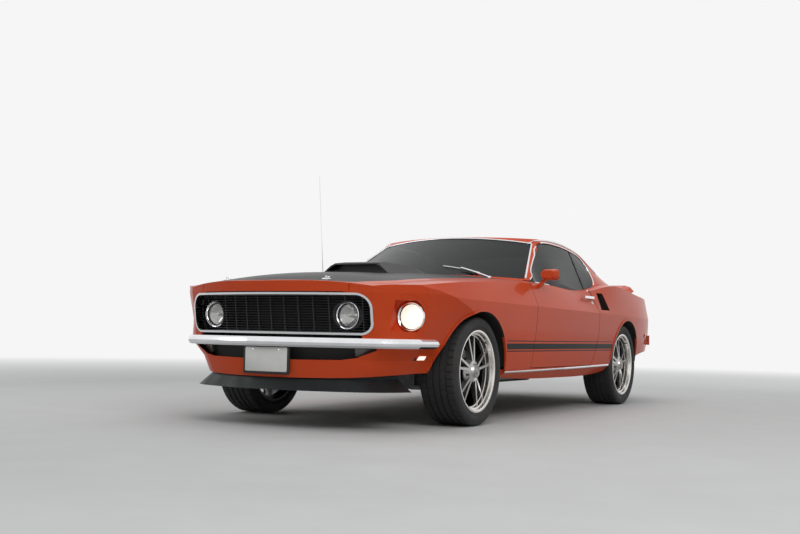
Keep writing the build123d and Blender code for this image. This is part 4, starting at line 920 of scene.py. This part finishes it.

# Air slots on the cowl, drawn as thin dark pads that are painted shade of the openings; foot of the antenna
cowl_tree = tree_of("cowl_panel", "hood")
b = Build()
for x in [0.040 * i for i in range(-13, 14)]:
    hit, normal = cast(cowl_tree, (x, -0.757, 1.3), (0, 0, -1))
    if hit is not None and normal.z > 0.8:
        b.add(*slab(rounded_rect(0.013, 0.008, 0.004), -0.001, 0.0014, 0.0006, shifted(*hit)))
if b.v:
    b.make("cowl_slots", "grille_black", [RUBBER])
b = Build()
b.add(*lathe([(-0.004, 0.022), (0.002, 0.0215), (0.006, 0.017), (0.012, 0.012), (0.014, 0.008),
              (0.030, 0.0065), (0.034, 0.0045), (0.0345, 0.0035)], (-0.775, -0.644, 0.915), (0, 0.105, 0.994),
             32))
b.make("antenna_base", "chrome")


# Seats: every cushion is a crowned shape with a pleated middle inside a seam, in shares of its half size
PLEAT_U, PLEAT_V, SEAM_U, SEAM_V = 0.68, 0.80, 0.70, 0.84
PLEAT_DEPTH = SEAM_DEPTH = 0.006
EDGE = 0.86
CUSHION_STEPS = 34


def cushion(name, half, crown, place_at, turn, pleats, replaced=()):
    hx, hy, hz = half
    n = CUSHION_STEPS
    verts, faces = [], []

    def crowned(u, v):
        across, along = abs(u), abs(v)
        z = crown * ((1 - across ** 5) * (1 - along ** 5)) ** 0.6
        if across < PLEAT_U and along < PLEAT_V:
            ridge = abs(sin(pi * pleats * (v / PLEAT_V + 1) / 2))
            z += PLEAT_DEPTH * (ridge ** 0.5 - 1) * min(1.0, (PLEAT_U - across) * 10)
        if 0.66 < across < SEAM_U or (PLEAT_V < along < SEAM_V and across < SEAM_U):
            z -= SEAM_DEPTH
        return z

    def rounded(w):
        return sqrt(max(0.0, 1 - max(0.0, (abs(w) - EDGE) / (1 - EDGE)) ** 2)) if abs(w) > EDGE else 1.0

    grid = {}
    for s in (1, -1):
        for i in range(n + 1):
            for j in range(n + 1):
                u, v = 2 * i / n - 1, 2 * j / n - 1
                if s < 0 and (i in (0, n) or j in (0, n)):
                    grid[(s, i, j)] = grid[(1, i, j)]
                    continue
                z = s * hz * rounded(u) * rounded(v) + (crowned(u, v) if s > 0 else 0)
                pull = 1 - 0.035 * (u * v) ** 2
                grid[(s, i, j)] = len(verts)
                verts.append(Vector(place_at) + turn @ Vector((hx * u * pull, hy * v * pull, z)))
        for i in range(n):
            for j in range(n):
                f = (grid[(s, i, j)], grid[(s, i + 1, j)], grid[(s, i + 1, j + 1)], grid[(s, i, j + 1)])
                faces.append(f if s > 0 else f[::-1])
    ob = put(name, verts, faces, [VINYL], "seat_trim", replaced=replaced, sharp=60)
    sub = ob.modifiers.new("soft", "SUBSURF")
    sub.levels = 1
    sub.render_levels = 1


def tilt_x(degrees):
    return Matrix.Rotation(radians(degrees), 3, "X")


SEAT_X = 0.375
for side, k in SIDES:
    cushion("seat_cushion_" + side, (0.222, 0.215, 0.048), 0.018, (k * SEAT_X, 0.150, 0.405), tilt_x(-4), 7,
            replaced=("front_seats",) if k > 0 else ())
    cushion("seat_back_" + side, (0.215, 0.235, 0.038), 0.018, (k * SEAT_X, 0.452, 0.665), tilt_x(76), 8)
cushion("rear_cushion", (0.540, 0.165, 0.042), 0.014, (0.0, 0.925, 0.475), tilt_x(-2), 6,
        replaced=("rear_seat",))
cushion("rear_back", (0.540, 0.175, 0.036), 0.014, (0.0, 1.140, 0.690), tilt_x(72), 6)


def box_outline(u0, v0, u1, v1):
    return [(u0, v0), (u1, v0), (u1, v1), (u0, v1)]


b = Build()
for x in (0.20, 0.55, -0.20, -0.55):
    b.add(*slab(box_outline(x - 0.018, -0.03, x + 0.018, 0.45), 0.2865, 0.312, 0.006, shifted(0, 0, 0)))
    b.add(*slab(box_outline(x - 0.012, 0.02, x + 0.012, 0.38), 0.305, 0.362, 0.004, shifted(0, 0, 0)))
b.make("seat_runners", "steel")

# Instruments: bezel, face, scale marks and needle; x and radius of each
DIAL_Z = 0.795
b = Build()
for x, r in ((0.300, 0.052), (0.440, 0.052), (0.200, 0.028), (0.540, 0.028), (-0.370, 0.040)):
    spot = (x, -0.388, DIAL_Z)
    b.add(*lathe([(-0.012, r), (0.006, r), (0.008, r - 0.002), (0.008, r - 0.004), (0.003, r - 0.006)], spot,
                 (0, 1, 0.1), 40))
    b.add(*lathe([(0.003, r - 0.005), (0.0035, r * 0.5), (0.004, 0.0001)], spot, (0, 1, 0.1), 32), 1)
    for i in range(11):
        a = radians(-130 + 26 * i)
        c = (x + (r - 0.014) * sin(a), -0.3835, DIAL_Z + (r - 0.014) * cos(a))
        b.add(*lathe([(-0.003, 0.0016), (0.002, 0.0016), (0.0022, 0.0001)], c, (0, 1, 0), 6), 2)
    b.add(*sweep([(x, -0.3825, DIAL_Z), (x + 0.5 * r, -0.3825, DIAL_Z + 0.45 * r)], round_section(0.0012, 6)),
          2)
b.make("instruments", "cabin_plastic", [CHROME, MATT, WHITE])

# Boss, spokes and grip of the steering wheel
WHEEL_AT = Vector((0.370, -0.250, 0.800))
GRIP_RADIUS, GRIP_STEPS = 0.180, 96
wheel_axis = Vector((0, 0.86, 0.5)).normalized()
w_u, w_v = Vector((1, 0, 0)), wheel_axis.cross(Vector((1, 0, 0)))
b = Build()
for i in range(3):
    a = turn_of(i, 3) + pi / 2
    d = cos(a) * w_u + sin(a) * w_v
    start = WHEEL_AT + d * 0.055 + wheel_axis * 0.013
    b.add(*slab([(0.0, -0.012), (0.10, -0.009), (0.10, 0.009), (0.0, 0.012)], -0.001, 0.003, 0.001,
                lambda px, py, pz: start + d * px + wheel_axis.cross(d) * py + wheel_axis * (pz - 0.008)))
b.add(*lathe([(0.019, 0.044), (0.024, 0.040), (0.027, 0.028), (0.0275, 0.020), (0.025, 0.018),
              (0.026, 0.0001)], WHEEL_AT, wheel_axis, 40))
b.make("wheel_boss", "steel")
grip = [WHEEL_AT + w_u * gx + w_v * gy for gx, gy in round_section(GRIP_RADIUS, GRIP_STEPS)]
b = Build()
for i in range(GRIP_STEPS):
    b.add(*sweep([grip[i], grip[(i + 1) % GRIP_STEPS]], round_section(0.0148 if i % 4 else 0.0138, 10)))
b.make("wheel_grip", "cabin_plastic")

# Inner mirror and console with its selector
MIRROR_HEIGHT = 1.155
b = Build()
b.add(*slab(rounded_rect(0.110, 0.026, 0.022), 0.0, 0.020, 0.006,
            lambda x, y, z: (x, -0.135 - z * 0.96, MIRROR_HEIGHT + y + z * 0.2)))
b.add(*slab(rounded_rect(0.104, 0.021, 0.018), 0.0, 0.002, 0.001,
            lambda x, y, z: (x, -0.1345 + z, MIRROR_HEIGHT + y)), 1)
b.add(*sweep([(0, -0.150, 1.160), (0, -0.155, 1.190), (0, -0.125, 1.222)], round_section(0.005, 8)))
b.make("inner_mirror", "chrome", [MATT, REFLECTOR])
b = Build()
b.add(*slab(rounded_rect(0.070, 0.230, 0.030), 0.0, 0.110, 0.016, shifted(0, 0.120, 0.375)))
b.add(*sweep([(0, -0.02, 0.480), (0, -0.04, 0.550), (0, -0.035, 0.600)], round_section(0.006, 10)), 1)
b.add(*lathe([(-0.016, 0.004), (-0.012, 0.016), (0.0, 0.021), (0.012, 0.016), (0.017, 0.006),
              (0.0175, 0.0001)], (0, -0.035, 0.615), (0, 0, 1), 24))
b.make("console", "cabin_plastic", [CABIN, CHROME])

# Door cards with arm rest, pleats and window crank
CRANK_Y, CRANK_Z = -0.36, 0.600
CARD = [(-0.56, 0.42), (0.58, 0.42), (0.60, 0.46), (0.60, 0.84), (-0.52, 0.84), (-0.58, 0.78), (-0.58, 0.45)]
for side, k in SIDES:
    b = Build()
    hits = [cast(door_trees[side], (k * 0.30, 0.0, z), (k, 0, 0))[0] for z in (0.60, 0.66, 0.72)]
    x_in = min([abs(hit.x) for hit in hits if hit is not None], default=None)
    if x_in:
        def on_card(y, z, depth):
            return k * (x_in + 0.002 - depth), y, z

        b.add(*slab(CARD, 0.0, 0.010, 0.004, on_card))
        b.add(*slab(box_outline(-0.30, 0.645, 0.36, 0.695), 0.008, 0.036, 0.014, on_card))
        for y in [-0.48 + 0.09 * i for i in range(12)]:
            b.add(*slab(box_outline(y, 0.73, y + 0.078, 0.80), 0.008, 0.015, 0.005, on_card))
        b.add(*lathe([(0.0, 0.016), (0.008, 0.014), (0.012, 0.009), (0.020, 0.008), (0.021, 0.0001)],
                     (k * (x_in - 0.008), CRANK_Y, CRANK_Z), (-k, 0, 0), 24), 1)
        handle = [(k * (x_in - 0.026), CRANK_Y, CRANK_Z), (k * (x_in - 0.030), -0.30, 0.560)]
        b.add(*sweep(handle, round_section(0.005, 8)), 1)
        b.make("door_card_" + side, "seat_trim", [VINYL, CHROME], body="door_" + side)

# Under the hood: valve covers with ribs and the air cleaner on the plain engine block
ENGINE_Y, COVER_X, AIR_CLEANER_Z = -1.330, 0.175, 0.770
b = Build()
for k in (1, -1):
    for i in range(2):
        b.add(*slab(rounded_rect(0.052, 0.250, 0.020), 0.0, 0.040 + 0.016 * i, 0.012,
                    lambda x, y, z: (k * COVER_X + x * (1 - 0.2 * i), ENGINE_Y + y * (1 - 0.04 * i),
                                     0.758 + z)))
    for j in range(9):
        rib_at = shifted(k * COVER_X, -1.53 + 0.05 * j, 0.812)
        b.add(*slab(rounded_rect(0.036, 0.006, 0.004), 0.0, 0.005, 0.002, rib_at))
b.add(*lathe([(0.0, 0.172), (0.010, 0.1745), (0.055, 0.1745), (0.060, 0.178), (0.066, 0.178), (0.070, 0.172),
              (0.073, 0.10), (0.075, 0.022), (0.084, 0.020), (0.085, 0.0001)], (0, ENGINE_Y, AIR_CLEANER_Z),
             (0, 0, 1), 72))
b.add(*lathe([(0.0855, 0.008), (0.089, 0.006), (0.0895, 0.0001)], (0, ENGINE_Y, AIR_CLEANER_Z), (0, 0, 1),
             12))
b.make("engine_covers", "chrome")

# Radiator with fins, tanks, cap and hose, and the fan with its pulley
FIN_COUNT, FIN_PITCH, FAN_Z, BLADES = 46, 0.0113, 0.585, 6
b = Build()
for i in range(FIN_COUNT):
    x = -0.255 + FIN_PITCH * i
    b.add(*slab(box_outline(x, 0.40, x + 0.003, 0.735), 0.0, 0.034, 0.001,
                lambda px, pz, py: (px, -2.048 + py, pz)), 1)
for z in (0.375, 0.742):
    b.add(*slab(rounded_rect(0.275, 0.020, 0.008), 0.0, 0.050, 0.006,
                lambda x, y, pz: (x, -2.052 + pz, z + y)))
b.add(*lathe([(0.0, 0.024), (0.010, 0.024), (0.014, 0.020), (0.0145, 0.0001)], (0.10, -2.027, 0.760),
             (0, 0, 1), 24), 2)
hose = rounded_line([(0.12, -2.00, 0.72), (0.12, -1.93, 0.725), (0.08, -1.82, 0.745), (0.03, -1.72, 0.735)])
b.add(*sweep(hose, round_section(0.021, 14)), 3)
b.add(*lathe([(0.0, 0.075), (0.010, 0.078), (0.020, 0.075), (0.028, 0.060), (0.045, 0.058), (0.046, 0.0001)],
             (0, -1.732, FAN_Z), (0, -1, 0), 36), 2)
for i in range(BLADES):
    a = turn_of(i, BLADES)
    d, e = Vector((cos(a), 0, sin(a))), Vector((-sin(a), 0, cos(a)))
    b.add(*slab([(0.05, -0.02), (0.175, -0.045), (0.180, 0.020), (0.05, 0.02)], 0.0, 0.003, 0.001,
                lambda px, py, pz: Vector((0, -1.800 - pz + 0.25 * py, FAN_Z)) + d * px + e * py), 2)
b.make("cooling_parts", "black_paint", [BLACK_PAINT, STEEL, CHROME, RUBBER])


# Floor, lamps and background; rays that show the background see it at this strength
BACKDROP = 0.92
FLOOR_HALF, FADE_FROM, FADE_TO = 14.0, 4.5, 13.0


def seen(nt):
    path = nt.nodes.new("ShaderNodeLightPath")
    mirrored = calc(nt, "MAXIMUM", path.outputs["Is Glossy Ray"], path.outputs["Is Transmission Ray"])
    return calc(nt, "MAXIMUM", mirrored, path.outputs["Is Camera Ray"])


def add_floor():
    me = bpy.data.meshes.new("floor")
    s = FLOOR_HALF
    me.from_pydata([(-s, -s, 0), (s, -s, 0), (s, s, 0), (-s, s, 0)], [], [(0, 1, 2, 3)])
    ob = bpy.data.objects.new("floor", me)
    scene.collection.objects.link(ob)
    pale = simple("floor_pale", (0.52, 0.52, 0.51), (0.56, 0.56, 0.55), 0.8, scale=3.0, bump_s=0.02)
    nt = pale.node_tree
    xyz = place(nt)
    far = spread(nt, distance_from_axis(nt, xyz[0], xyz[1]), 0.0, 1.0, FADE_FROM, FADE_TO)
    glow = nt.nodes.new("ShaderNodeEmission")
    glow.inputs["Strength"].default_value = BACKDROP
    blend = nt.nodes.new("ShaderNodeMixShader")
    link(calc(nt, "MULTIPLY", seen(nt), far), blend, "Fac")
    link(nt.nodes["Principled BSDF"].outputs["BSDF"], blend, 1)
    link(glow.outputs["Emission"], blend, 2)
    link(blend.outputs["Shader"], nt.nodes["Material Output"], "Surface")
    me.materials.append(pale)


def area(name, loc, target, size, power, mirrored=True):
    li = bpy.data.lights.new(name, "AREA")
    li.shape = "RECTANGLE"
    li.size, li.size_y = size
    li.energy = power
    ob = bpy.data.objects.new(name, li)
    ob.location = loc
    ob.rotation_euler = (Vector(target) - Vector(loc)).to_track_quat("-Z", "Y").to_euler()
    ob.visible_glossy = mirrored
    scene.collection.objects.link(ob)


def add_world():
    w = bpy.data.worlds.new("world")
    w.use_nodes = True
    nt = w.node_tree
    back = nt.nodes["Background"]
    tc = nt.nodes.new("ShaderNodeTexCoord")
    sep = nt.nodes.new("ShaderNodeSeparateXYZ")
    link(tc.outputs["Generated"], sep, 0)
    sky = ramp(nt, sep.outputs[2], [(0.0, (0.10, 0.10, 0.09)), (0.22, (0.10, 0.11, 0.09)),
                                    (0.38, (0.46, 0.46, 0.44)), (0.8, (0.80, 0.84, 0.90))])
    link(sky, back, "Color")
    back.inputs["Strength"].default_value = 0.55
    white = nt.nodes.new("ShaderNodeBackground")
    white.inputs["Color"].default_value = (1.0, 1.0, 1.0, 1)
    white.inputs["Strength"].default_value = BACKDROP
    blend = nt.nodes.new("ShaderNodeMixShader")
    link(seen(nt), blend, "Fac")
    link(back.outputs["Background"], blend, 1)
    link(white.outputs["Background"], blend, 2)
    link(blend.outputs["Shader"], nt.nodes["World Output"], "Surface")
    scene.world = w


add_floor()
add_world()
area("key", (5.5, -5.5, 5.0), (0, 0, 0.6), (5, 3), 230)
area("fill", (-6.0, -4.0, 3.5), (0, 0, 0.6), (5, 3), 90)
area("rim", (1.0, 7.0, 4.5), (0, 0, 0.8), (6, 2), 110, False)
area("top", (0, 0, 6.5), (0, 0, 0), (5, 7), 130, False)
scene.view_settings.view_transform = "Standard"
